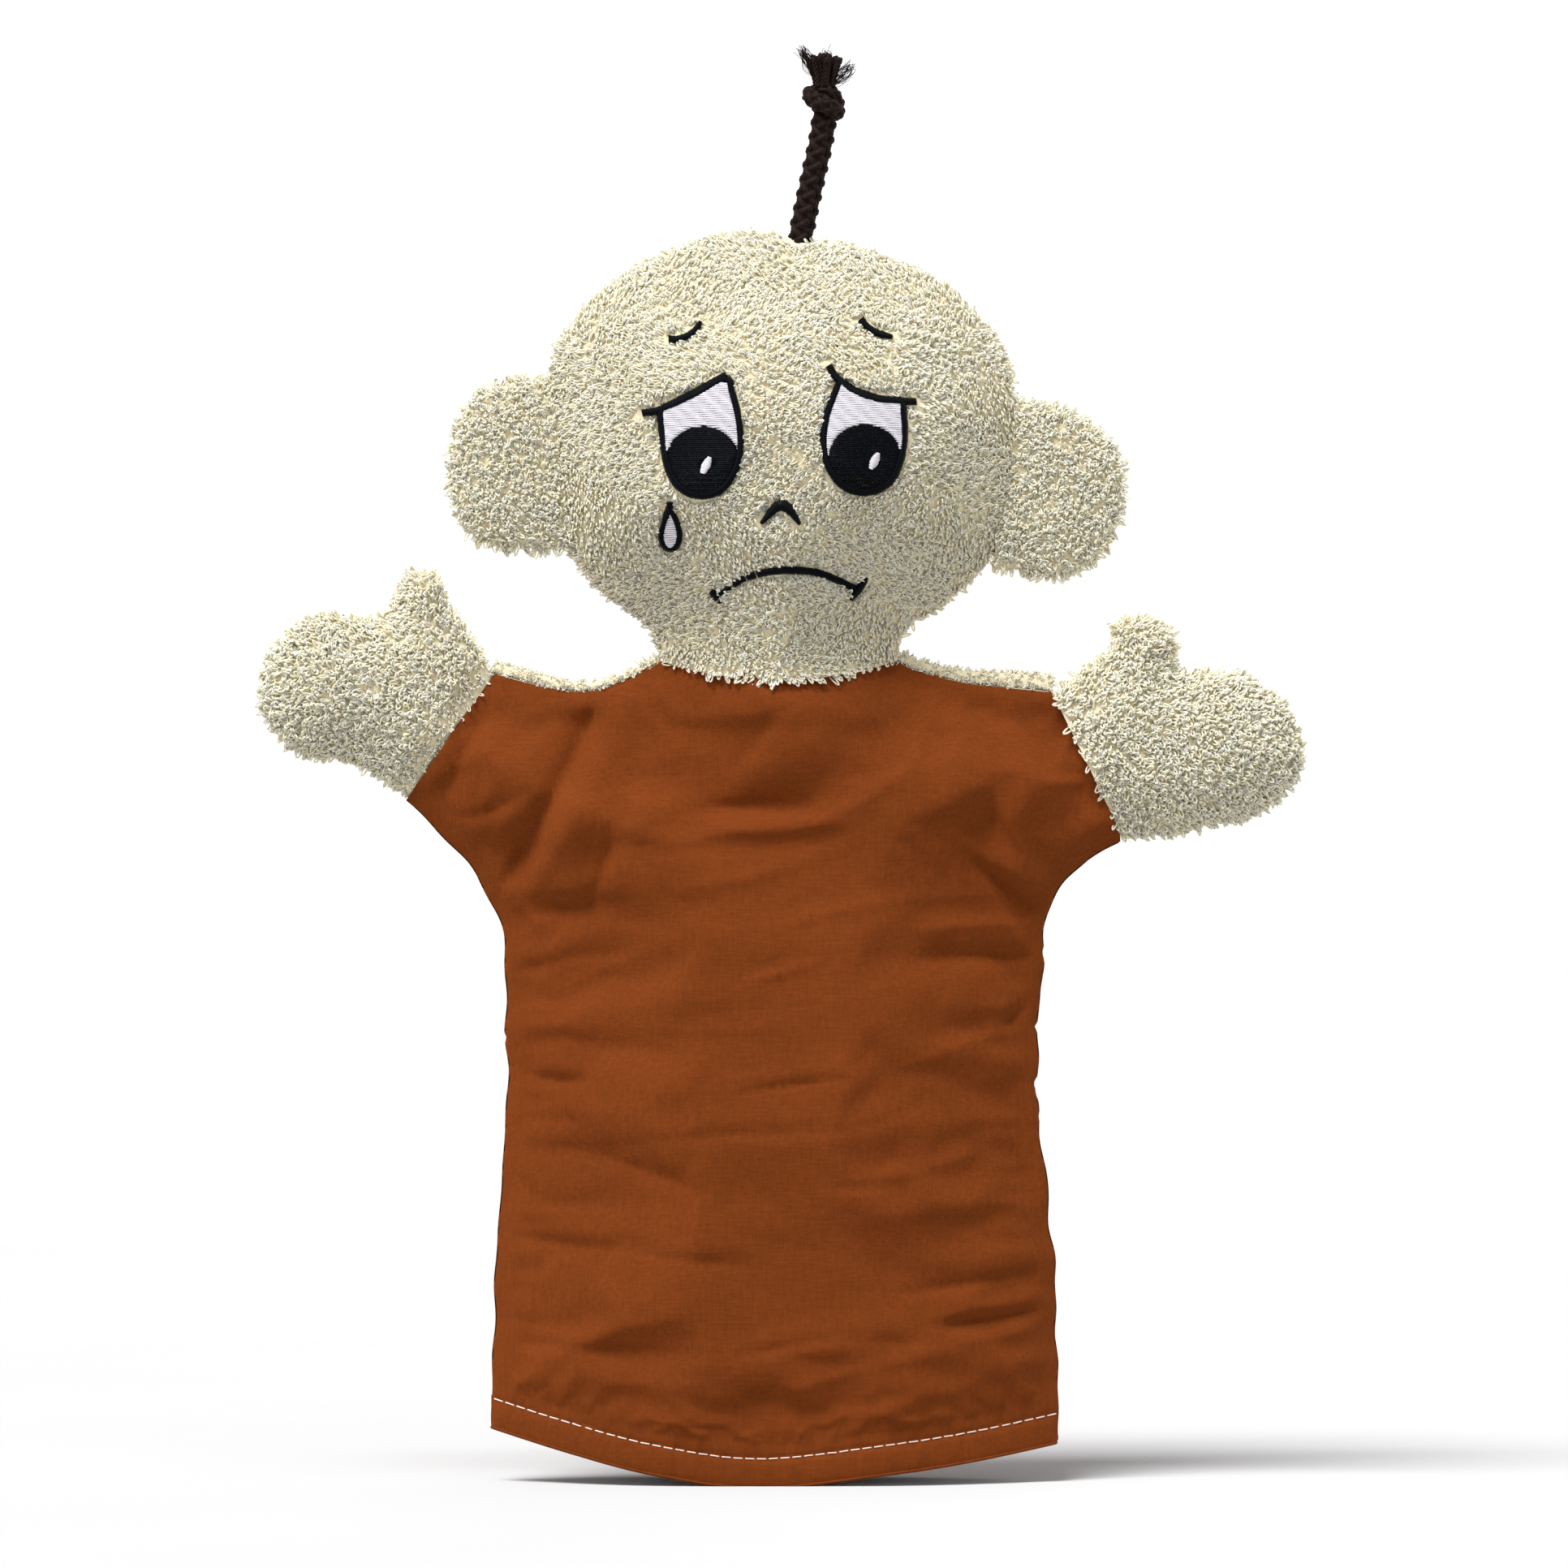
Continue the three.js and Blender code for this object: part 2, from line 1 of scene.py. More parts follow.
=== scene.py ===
"""A hand puppet: a stuffed terry-cloth head with ears and an embroidered sad face, terry mitten
hands, a woven cotton body that is open at the hem, and a knotted braided cord for hair.

Lengths are in millimetres and become metres when a mesh is made. Outlines are [x, z] points in
the front view, the same as the frame's. The face looks along -Y. A "half depth" is how far the
cloth stands off the plane y = 0, where the fronts and the backs are sewn together.
"""

import math

import bpy
import numpy as np
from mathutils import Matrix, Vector, geometry
from mathutils.bvhtree import BVHTree


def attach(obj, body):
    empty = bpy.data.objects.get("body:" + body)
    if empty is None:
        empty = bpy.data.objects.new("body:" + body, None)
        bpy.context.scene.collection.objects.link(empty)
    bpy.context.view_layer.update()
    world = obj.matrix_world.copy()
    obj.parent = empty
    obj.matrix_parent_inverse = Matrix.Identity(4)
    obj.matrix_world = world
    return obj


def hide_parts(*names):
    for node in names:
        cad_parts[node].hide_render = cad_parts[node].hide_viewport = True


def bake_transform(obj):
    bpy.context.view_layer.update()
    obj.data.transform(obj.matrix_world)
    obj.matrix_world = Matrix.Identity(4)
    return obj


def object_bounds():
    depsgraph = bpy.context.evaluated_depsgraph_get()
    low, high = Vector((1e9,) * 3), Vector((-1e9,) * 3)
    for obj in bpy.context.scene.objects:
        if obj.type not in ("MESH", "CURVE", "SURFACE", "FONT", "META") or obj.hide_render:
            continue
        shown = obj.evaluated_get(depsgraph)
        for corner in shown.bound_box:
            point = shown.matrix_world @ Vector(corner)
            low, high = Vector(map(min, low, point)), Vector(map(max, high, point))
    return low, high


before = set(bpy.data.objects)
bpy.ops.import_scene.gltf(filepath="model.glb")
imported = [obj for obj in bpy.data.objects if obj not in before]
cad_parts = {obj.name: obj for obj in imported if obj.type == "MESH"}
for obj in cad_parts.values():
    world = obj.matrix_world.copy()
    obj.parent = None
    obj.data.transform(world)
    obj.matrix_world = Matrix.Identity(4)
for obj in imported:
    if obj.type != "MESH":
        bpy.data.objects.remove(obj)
cad_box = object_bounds()

MM = 0.001
SIDES = {"right": -1, "left": 1}
FRONT, BACK = -1, 1

# Cloth
COTTON = 0.45
GROUND = 1.3  # terry ground cloth with the feet of its loops
PILE = 1.1  # how far the loops stand out past the ground cloth at an edge
LOOPS = 1.3  # terry loops on each square millimetre

# Body outline
HEM = [[-66.5, 13], [-48, 7.8], [-28, 3], [-4, 0], [26, 3.2], [46, 6], [65.4, 9.5]]
BODY_SIDES = {
    "right": [[-66.5, 13], [-65.3, 55], [-62.6, 98], [-64.6, 130], [-75, 147], [-86.3, 158.3]],
    "left": [[65.4, 9.5], [64.3, 50], [60.8, 84], [60.4, 102], [63, 132], [71, 143.6], [80.5, 148.9]],
}
SHOULDERS = {
    "right": [[-65.6, 187.9], [-50.5, 184.5], [-39, 185], [-27.5, 190.5]],
    "left": [[63.5, 183.8], [47, 185.5], [36.2, 187.5], [28.5, 190.5]],
}
BODY_PUFF = (21, 46)  # full half depth, and how far in from a seam the cloth gets there
YOKE_Z = 170
# Radius of the yoke's rolled terry edge: at the neck, and at the wrist
TOP_ROLL = {"right": (0.9, 1.5), "left": (1.3, 2.2)}
# Where the head weighs the front in: half its width, and its reach up and down from its lowest point
CHEST_HOLLOW = {"middle": (-1, 154), "half": 32, "up": 22, "down": 40, "depth": 11}
HEM_UP = 6.4  # from the hem's edge up to its stitches
STITCH_PITCH = 2.75
# The hem's turned-up inside, from its edge: how far in from the cloth, and how far up
HEM_ROWS = [(0.0, 0.0), (0.25, -0.3), (0.6, -0.4), (0.95, -0.15), (1.1, 0.5), (1.05, 2.5), (0.95, 5),
            (0.8, 7.2)]

# Head and ears
HEAD = [
    [-27.6, 190.4], [-30, 198], [-42, 207.8], [-50, 219], [-53, 238], [-51.8, 262], [-42.8, 276],
    [-24, 286.8], [-4, 290.9], [20, 286.8], [40, 278.2], [51.6, 264], [57, 246], [54, 222],
    [45.5, 208.3], [31.5, 198], [28.6, 190.4],
]
HEAD_PUFF = (28, 46)
NECK_SLIM = {"share": 0.68, "from": 187, "to": 222}
CHIN_Z = 186.2  # the head's edge in the middle of the neck
EARS = {
    "right": [[-52.6, 256.5], [-63, 256.2], [-72.5, 251], [-76.9, 236], [-73.5, 221.5],
              [-64, 216.3], [-51.2, 216]],
    "left": [[58.6, 251.5], [69, 249], [78.5, 240.5], [81, 229], [76, 215.5], [65.5, 209.8],
             [54.4, 211]],
}
EAR_ROOT_X = {"right": -45, "left": 50.5}
EAR_PUFF = (2, 12)

# Hands, from the top of the wrist over the thumb and round to its bottom
HANDS = {
    "right": [[-65.6, 187.9], [-70.4, 196.4], [-75.4, 202.6], [-78.6, 210.6], [-86, 211],
              [-89.6, 203], [-94, 200.8], [-108, 201.2], [-118, 192.5], [-119.5, 179],
              [-111, 169], [-98, 167], [-86.3, 158.3]],
    "left": [[63.5, 183.8], [70, 188.5], [76.3, 193], [79, 200], [87, 201.4], [92.2, 196],
             [93.4, 189], [106, 188.4], [118.5, 179.5], [121.4, 166], [112, 155.5],
             [98, 151.5], [80.5, 148.9]],
}
HAND_PUFF = (6, 15)
# Where a hand's loops begin past the wrist seam, and their size there
WRIST_PILE = {"right": (0.4, 0.75), "left": (-0.4, 1.1)}
WRIST_SLIM = 0.5  # share of the sleeve's half depth that is left at the wrist
ARM_PIVOTS = {"right": [-50, 161], "left": [49.5, 160.5]}

# Hair: the cord's route starts inside the head, and the knot's cord is pulled tighter
CORD_WIDTH = 6.1
CORD_EXIT = [5.4, 0, 289.8]
CORD_ROUTE = [[4.3, 0, 278.6], [5.1, 0, 285], [5.8, 0, 291.3], [7.8, 0, 301], [10, 0, 311],
              [11, 0, 317.6]]
KNOT_ROUTE = [
    [10.8, 0, 315.2], [10.4, 1.3, 318.4], [9.4, 1.9, 320.8], [8, 0.6, 322.4], [8, -2, 321.4],
    [10.4, -3.3, 320], [13, -2.4, 318.6], [13.6, 0.4, 318.3], [13.4, 1.2, 320.6], [12.5, -0.8, 322.2],
    [11, -0.4, 323.4], [10.7, 0, 325.4],
]
TUFT = {"foot": [10.9, 0, 324], "top": 332, "spread": 4.2}


# ---- Curves and shapes in the front view ---------------------------------------------------------

def unit(vectors):
    return vectors / np.maximum(np.linalg.norm(vectors, axis=-1, keepdims=True), 1e-9)


def lerp(a, b, share):
    return a + (b - a) * share


def smoothstep(value, start, end):
    t = np.clip((value - start) / (end - start), 0, 1)
    return t * t * (3 - 2 * t)


def even(line, spacing):
    """The same line with evenly spaced points."""
    reach = np.concatenate([[0], np.cumsum(np.linalg.norm(np.diff(line, axis=0), axis=1))])
    count = max(2, round(reach[-1] / spacing))
    at = np.linspace(0, reach[-1], count + 1)
    return np.stack([np.interp(at, reach, column) for column in line.T], axis=1)


def spline(points, spacing, closed=False):
    """Evenly spaced points on the smooth curve through a few points."""
    p = np.array(points, float)
    ring = np.vstack([p[-1:], p, p[:2]] if closed else [p[:1], p, p[-1:]])
    t = np.linspace(0, 1, 16, endpoint=False)[:, None]
    parts = []
    for a, b, c, d in zip(ring, ring[1:], ring[2:], ring[3:]):
        bend = (2 * a - 5 * b + 4 * c - d) * t + (3 * b - a - 3 * c + d) * t * t
        parts.append(b + t * (c - a + bend) / 2)
    return even(np.vstack([*parts, ring[-2:-1]]), spacing)


def outward(outline):
    """The direction out of a closed outline at each of its points."""
    run = np.roll(outline, -1, axis=0) - np.roll(outline, 1, axis=0)
    turn = np.sum(outline[:, 0] * np.roll(outline[:, 1], -1) - outline[:, 1] * np.roll(outline[:, 0], -1))
    return unit(np.stack([run[:, 1], -run[:, 0]], axis=1)) * np.sign(turn)


def nearest(line, spots):
    """How far each spot is from a line, and the line's point nearest to it."""
    best = np.full(len(spots), np.inf)
    where = np.zeros_like(spots)
    for a, b in zip(line, line[1:]):
        run = b - a
        t = np.clip((spots - a) @ run / max(run @ run, 1e-9), 0, 1)
        point = a + t[:, None] * run
        away = np.linalg.norm(spots - point, axis=1)
        closer = away < best
        best[closer] = away[closer]
        where[closer] = point[closer]
    return best, where


def contains(outline, spots):
    inside = np.zeros(len(spots), bool)
    x, z = spots.T
    for (ax, az), (bx, bz) in zip(np.roll(outline, 1, axis=0), outline):
        if az == bz:
            continue
        crosses = ((az > z) != (bz > z)) & (x < ax + (bx - ax) * (z - az) / (bz - az))
        inside ^= crosses
    return inside


def honeycomb(box, spacing):
    """Points of an even three-way grid over a rectangle."""
    (x0, z0), (x1, z1) = box
    rows = np.arange(z0, z1, spacing * math.sqrt(0.75))
    columns = np.arange(x0, x1, spacing)
    shift = (np.arange(len(rows)) % 2) * spacing / 2
    x = columns[None, :] + shift[:, None]
    z = np.broadcast_to(rows[:, None], x.shape)
    return np.stack([x.ravel(), z.ravel()], axis=1)


def triangulate(outline, inner, cuts=()):
    """Points and triangles that fill an outline. The triangles' edges follow the cuts."""
    points = [outline]
    edges = [(i, (i + 1) % len(outline)) for i in range(len(outline))]
    start = len(outline)
    for cut in cuts:
        points.append(cut)
        edges += [(start + i, start + i + 1) for i in range(len(cut) - 1)]
        start += len(cut)
    points.append(inner)
    flat = [Vector(p) for p in np.vstack(points)]
    found = geometry.delaunay_2d_cdt(flat, edges, [], 1, 1e-3, False)
    flat, triangles = np.array([list(p) for p in found[0]]), np.array(found[2])
    return flat, triangles[contains(outline, flat[triangles].mean(axis=1))]


def filled(outline, spacing, cuts=(), inner=None):
    """Triangles over an outline, with points about the spacing apart."""
    if inner is None:
        inner = honeycomb((outline.min(0), outline.max(0)), spacing)
    ring = np.vstack([outline, outline[:1]])
    clear = contains(outline, inner)
    for line in [ring, *cuts]:
        clear &= nearest(line, inner)[0] > spacing * 0.5
    return triangulate(outline, inner[clear], cuts)


def ripple(spots, seed, wavelength, count=9, stretch=1.0):
    """Smooth random ups and downs, about -1 to 1, longer along X by the stretch."""
    rng = np.random.default_rng(seed)
    total = np.zeros(len(spots))
    for _ in range(count):
        angle = rng.uniform(0, math.pi)
        wave = 2 * math.pi / (wavelength * rng.uniform(0.7, 1.5))
        along = spots[:, 0] / stretch * math.cos(angle) + spots[:, -1] * math.sin(angle)
        total += np.sin(along * wave + rng.uniform(0, 2 * math.pi))
    return total / math.sqrt(count)


# ---- Meshes --------------------------------------------------------------------------------------

def make(name, points, faces, materials, tones=None, normals=None):
    """A smooth mesh object from points in millimetres and an array of faces."""
    mesh = bpy.data.meshes.new(name)
    mesh.vertices.add(len(points))
    mesh.vertices.foreach_set("co", (points * MM).astype(np.float32).ravel())
    mesh.loops.add(faces.size)
    mesh.loops.foreach_set("vertex_index", faces.astype(np.int32).ravel())
    mesh.polygons.add(len(faces))
    mesh.polygons.foreach_set("loop_start", np.arange(0, faces.size, faces.shape[1], dtype=np.int32))
    for material in materials:
        mesh.materials.append(material)
    if tones is not None:
        mesh.polygons.foreach_set("material_index", tones.astype(np.int32))
    mesh.update(calc_edges=True)
    mesh.shade_smooth()
    if normals is not None:
        mesh.normals_split_custom_set_from_vertices(normals.tolist())
    piece = bpy.data.objects.new(name, mesh)
    bpy.context.scene.collection.objects.link(piece)
    return piece


def welded(points, faces):
    """Joins the points that lie at the same place."""
    _, first, index = np.unique(np.round(points, 3), axis=0, return_index=True, return_inverse=True)
    return points[first], index.reshape(-1)[faces]


def face_normals(points, faces):
    a, b, c = (points[faces[:, i]] for i in range(3))
    return np.cross(b - a, c - a)


def point_normals(points, faces):
    normals = np.zeros_like(points)
    across = face_normals(points, faces)
    for corner in faces.T:
        np.add.at(normals, corner, across)
    return unit(normals)


def thickened(points, faces, thickness, normals=None):
    """A closed cloth of that thickness, with the faces as its outer side."""
    if normals is None:
        normals = point_normals(points, faces)
    inner = points - normals * thickness
    count = len(points)
    start, end = faces.ravel(), np.roll(faces, -1, axis=1).ravel()
    there = set(zip(start.tolist(), end.tolist()))
    rim = np.array([(a, b) for a, b in there if (b, a) not in there], int)
    walls = np.stack([rim[:, 1], rim[:, 0], rim[:, 0] + count, rim[:, 1] + count], axis=1)
    if faces.shape[1] == 3:
        a, b, c, d = walls.T
        walls = np.vstack([np.stack([a, b, c], axis=1), np.stack([a, c, d], axis=1)])
    return np.vstack([points, inner]), np.vstack([faces, faces[:, ::-1] + count, walls])


def shell(flat, triangles, half_depth):
    """The front and the back of a sewn shape, joined where the half depth is nothing."""
    depth = half_depth(flat)
    sheets = [np.stack([flat[:, 0], side * depth, flat[:, 1]], axis=1) for side in (FRONT, BACK)]
    facing = face_normals(sheets[0], triangles[:1])[0, 1] < 0
    front = triangles if facing else triangles[:, ::-1]
    return welded(np.vstack(sheets), np.vstack([front, front[:, ::-1] + len(flat)]))


def tubes(lines, radius, across, sides=4, flat=1.0):
    """Closed tubes along lines, an array of (tubes, points, 3). Each tube's section is turned to
    the direction across it, and is wider that way by flat."""
    along = unit(np.gradient(lines, axis=1))
    first = np.broadcast_to(across, lines.shape)
    first = unit(first - along * np.sum(first * along, axis=2, keepdims=True))
    second = np.cross(along, first)
    turn = (np.arange(sides) + 0.5) * 2 * math.pi / sides
    radius = np.broadcast_to(radius, lines.shape[:2])[:, :, None, None]
    ring = np.cos(turn)[:, None] * first[:, :, None] * flat + np.sin(turn)[:, None] * second[:, :, None]
    points = (lines[:, :, None] + radius * ring).reshape(-1, 3)
    count, steps = lines.shape[:2]
    foot = (np.arange(count)[:, None] * steps + np.arange(steps - 1)) * sides
    i = np.arange(sides)
    j = (i + 1) % sides
    a = foot[:, :, None]
    walls = np.stack([a + i, a + j, a + j + sides, a + i + sides], axis=3)
    k = np.arange(1, sides - 1, 2)
    cap = np.stack([0 * k, k, k + 1, k + 2], axis=1)
    starts = (np.arange(count) * steps * sides)[:, None, None]
    ends = starts + (steps - 1) * sides
    faces = [walls.reshape(count, -1, 4), starts + cap[:, ::-1], ends + cap]
    return points, np.concatenate(faces, axis=1).reshape(-1, 4)


def joined(parts):
    """Several (points, faces) as one."""
    points, faces, start = [], [], 0
    for p, f in parts:
        points.append(p)
        faces.append(f + start)
        start += len(p)
    return np.vstack(points), np.vstack(faces)


# ---- Materials -----------------------------------------------------------------------------------

def material(name, colour, roughness=0.9, sheen=0.0, shine=0.06):
    """A plain cloth-like material with its constants on the shader's own sockets."""
    made = bpy.data.materials.new(name)
    made.use_nodes = True
    shader = made.node_tree.nodes["Principled BSDF"]
    shader.inputs["Base Color"].default_value = (*colour, 1)
    shader.inputs["Roughness"].default_value = roughness
    shader.inputs["Specular IOR Level"].default_value = shine
    shader.inputs["Sheen Weight"].default_value = sheen
    shader.inputs["Sheen Roughness"].default_value = 0.5
    shader.inputs["Diffuse Roughness"].default_value = 0.8
    return made


def add_node(tree, kind, **values):
    """A node whose inputs are set, or linked where the value is another node's socket."""
    node = tree.nodes.new(kind)
    for key, value in values.items():
        name = key.replace("_", " ")
        target = node.inputs[int(key[1:])] if key[0] == "_" else node.inputs.get(name)
        if target is None:
            setattr(node, key, value)
        elif isinstance(value, bpy.types.NodeSocket):
            tree.links.new(value, target)
        else:
            target.default_value = value
    return node


def math_node(tree, operation, a, b=0.0):
    node = add_node(tree, "ShaderNodeMath", _0=a, _1=b)
    node.operation = operation
    return node.outputs[0]


def plus(tree, a, b):
    return math_node(tree, "ADD", a, b)


def times(tree, a, b):
    return math_node(tree, "MULTIPLY", a, b)


def mapped(tree, scale):
    """Places on the object in metres, times a scale along each axis."""
    place = add_node(tree, "ShaderNodeTexCoord").outputs["Object"]
    return add_node(tree, "ShaderNodeMapping", Vector=place, Scale=scale).outputs[0]


def noise(tree, scale, detail=3.0, stretch=(1, 1, 1)):
    return add_node(tree, "ShaderNodeTexNoise", Vector=mapped(tree, stretch), Scale=scale,
                    Detail=detail).outputs[0]


def mix_colour(tree, share, first, second):
    ramp = tree.nodes.new("ShaderNodeValToRGB")
    ramp.color_ramp.elements[0].color = (*first, 1)
    ramp.color_ramp.elements[1].color = (*second, 1)
    ramp.color_ramp.elements[0].position = 0.3
    ramp.color_ramp.elements[1].position = 0.7
    tree.links.new(share, ramp.inputs[0])
    return ramp.outputs[0]


def finish_material(made, colour=None, height=None, depth=0.1):
    """Links a colour and a bump, of that depth in millimetres, to a material's shader."""
    tree = made.node_tree
    shader = tree.nodes["Principled BSDF"]
    if colour is not None:
        tree.links.new(colour, shader.inputs["Base Color"])
    if height is not None:
        bump = add_node(tree, "ShaderNodeBump", Height=height, Distance=depth * MM, Strength=1.0)
        tree.links.new(bump.outputs[0], shader.inputs["Normal"])
    return made


def scaled(colour, share):
    return tuple(channel * share for channel in colour)


CREAM = (0.83, 0.765, 0.565)
BROWN = (0.203, 0.046, 0.0078)
HAIR = (0.0125, 0.0056, 0.0044)


def cotton():
    """Fine plain-woven cotton: crossing yarns, with slubs and a faint mottle."""
    made = material("brown_cotton", BROWN, 0.9)
    tree = made.node_tree
    place = tree.nodes.new("ShaderNodeSeparateXYZ")
    tree.links.new(mapped(tree, (1, 1, 1)), place.inputs[0])
    wobble = times(tree, noise(tree, 900, 1), 0.0002)
    yarn = 2 * math.pi / (0.52 * MM)
    warp, weft = (
        math_node(tree, "SINE", times(tree, plus(tree, place.outputs[i], wobble), yarn))
        for i in (0, 2)
    )
    weave = times(tree, warp, weft)
    slubs = noise(tree, 1500, 3, (1, 1, 0.16))
    threads = noise(tree, 1500, 3, (0.16, 1, 1))
    grain = plus(tree, slubs, threads)
    height = plus(tree, times(tree, weave, 0.35), grain)
    fine = times(tree, plus(tree, grain, times(tree, weave, 0.12)), 0.35)
    share = plus(tree, fine, times(tree, noise(tree, 28, 3), 0.3))
    colour = mix_colour(tree, share, scaled(BROWN, 0.78), scaled(BROWN, 1.24))
    return finish_material(made, colour, height, 0.1)


def terry_ground():
    """The woven ground that the loops stand on, shaded by them."""
    made = material("terry_ground", scaled(CREAM, 0.9), 0.95)
    tree = made.node_tree
    knots = noise(tree, 1100, 2)
    colour = mix_colour(tree, knots, scaled(CREAM, 0.94), scaled(CREAM, 1.06))
    return finish_material(made, colour, knots, 0.25)


def terry_tones():
    """Cotton loops vary a little in colour, from bleached to straw."""
    shades = [(1.02, 1.025, 1.05), (1, 1, 1), (0.985, 0.98, 0.96), (1.0, 0.99, 0.94)]
    made = []
    for i, shade in enumerate(shades):
        tone = material(f"cream_terry_{i}", tuple(c * s for c, s in zip(CREAM, shade)), 0.9, 0, 0.05)
        shader = tone.node_tree.nodes["Principled BSDF"]
        shader.inputs["Subsurface Weight"].default_value = 0.8
        shader.inputs["Subsurface Radius"].default_value = (1, 0.9, 0.7)
        shader.inputs["Subsurface Scale"].default_value = 1.0 * MM
        made.append(tone)
    return made


def thread(name, colour, spread, roughness=0.5, shine=0.12):
    """Embroidery or sewing thread, with fine plies across it."""
    made = material(name, colour, roughness, 0, shine)
    tree = made.node_tree
    plies = noise(tree, 2600, 2)
    varied = mix_colour(tree, plies, scaled(colour, 1 - spread), scaled(colour, 1 + spread))
    return finish_material(made, varied, plies, 0.04)


def hair_yarn():
    made = material("hair_yarn", HAIR, 0.6, shine=0.12)
    tree = made.node_tree
    fibres = noise(tree, 2400, 3, (1, 1, 0.25))
    colour = mix_colour(tree, fibres, scaled(HAIR, 0.5), scaled(HAIR, 2.2))
    return finish_material(made, colour, fibres, 0.12)


def card():
    made = material("card", (0.5, 0.38, 0.2), 0.85)
    tree = made.node_tree
    fibres = noise(tree, 500, 4, (1, 1, 0.3))
    colour = mix_colour(tree, fibres, (0.42, 0.31, 0.16), (0.58, 0.46, 0.27))
    return finish_material(made, colour, fibres, 0.1)


def stuffing_fibre():
    made = material("stuffing_fibre", (0.85, 0.84, 0.8), 1.0, 0.3)
    tree = made.node_tree
    tufts = noise(tree, 300, 5)
    colour = mix_colour(tree, tufts, (0.7, 0.69, 0.65), (0.9, 0.89, 0.86))
    return finish_material(made, colour, tufts, 0.6)


# ---- Camera, light and floor ---------------------------------------------------------------------

def make_camera():
    """Level with the middle of the puppet, straight in front of it, through a long lens."""
    low = cad_box[0]
    data = bpy.data.cameras.new("camera")
    data.lens = 300
    seen = 0.3642  # metres across the picture at the seam plane
    camera = bpy.data.objects.new("camera", data)
    camera.location = (0.0015, -seen * data.lens / data.sensor_width, low.z + 0.162)
    camera.rotation_euler = (math.pi / 2, 0, 0)
    bpy.context.scene.collection.objects.link(camera)
    bpy.context.scene.camera = camera


def make_sun(name, towards, strength, softness):
    data = bpy.data.lights.new(name, "SUN")
    data.energy = strength
    data.angle = math.radians(softness)
    lamp = bpy.data.objects.new(name, data)
    lamp.rotation_euler = Vector(towards).to_track_quat("-Z", "Y").to_euler()
    bpy.context.scene.collection.objects.link(lamp)


def make_world():
    """A soft even room: brightest round the level line, dimmer overhead and below."""
    world = bpy.data.worlds.new("studio")
    world.use_nodes = True
    tree = world.node_tree
    place = add_node(tree, "ShaderNodeTexCoord").outputs["Generated"]
    split = tree.nodes.new("ShaderNodeSeparateXYZ")
    tree.links.new(place, split.inputs[0])
    steep = math_node(tree, "ABSOLUTE", split.outputs[2])
    ramp = mix_colour(tree, times(tree, steep, 1.6), (0.62, 0.62, 0.62), (0.2, 0.2, 0.205))
    tree.links.new(ramp, tree.nodes["Background"].inputs[0])
    bpy.context.scene.world = world


def make_studio():
    make_world()
    make_sun("key", (0.32, 0.52, -1.0), 2.35, 28)
    make_sun("back", (-0.4, -0.8, -0.5), 0.4, 60)
    bpy.context.scene.view_settings.view_transform = "Standard"
    bpy.context.scene.view_settings.exposure = 0.83
    low = cad_box[0]
    corners = 96
    turn = np.linspace(0, 2 * math.pi, corners, endpoint=False)
    rings = [np.stack([r * np.cos(turn), r * np.sin(turn), 0 * turn + low.z / MM], axis=1)
             for r in (1, 400, 9000)]
    i = np.arange(corners)
    j = (i + 1) % corners
    ring = np.stack([i, j, j + corners, i + corners], axis=1)[:, ::-1]
    faces = [ring + corners * k for k in (0, 1)]
    made = material("floor", (0.55, 0.55, 0.55), 0.9)
    tree = made.node_tree
    finish_material(made, mix_colour(tree, noise(tree, 3), (0.54, 0.54, 0.54), (0.56, 0.56, 0.56)))
    make("floor", np.vstack(rings), np.vstack(faces), [made])


# ---- Hair ----------------------------------------------------------------------------------------

def carried(route):
    """Two directions across a route at each of its points, which turn with it and don't spin."""
    along = unit(np.gradient(route, axis=0))
    first = [unit(np.cross(along[0], [0.0, 1.0, 0.0]))]
    for direction in along[1:]:
        first.append(unit(first[-1] - direction * (first[-1] @ direction)))
    first = np.array(first)
    return first, np.cross(along, first)


def braid(points, width, pitch=13.6, yarns=5):
    """A round braid of eight strands, four each way round, that pass over and under each other.
    Each strand is a flat bundle of yarns side by side."""
    size = width / CORD_WIDTH
    route = spline(points, 0.4)
    reach = np.arange(len(route)) * 0.4
    first, second = carried(route)
    around = 2 * math.pi / (pitch * size)
    core, sway, half = 2.42 * size, 0.32 * size, 1.2 * size
    lines, bases = [], []
    for way in (1, -1):
        slope = math.atan(core * around)
        for strand in range(4):
            for offset in np.linspace(-half, half, yarns):
                s = np.clip(reach - way * offset * math.sin(slope), 0, reach[-1])
                angle = way * s * around + strand * math.pi / 2 + offset * math.cos(slope) / core
                drop = 0.55 * size * (offset / half) ** 2
                out = core + sway * way * np.cos(4 * around * s) - drop
                middle, across, up = (
                    np.stack([np.interp(s, reach, column) for column in values.T], axis=1)
                    for values in (route, first, second)
                )
                radial = np.cos(angle)[:, None] * across + np.sin(angle)[:, None] * up
                lines.append(middle + radial * out[:, None])
                bases.append(radial)
    inside = tubes(route[None, ::3], 2.05 * size, first[None, ::3], sides=12)
    return route, joined([inside, tubes(np.array(lines), 0.42 * size, np.array(bases), sides=6)])


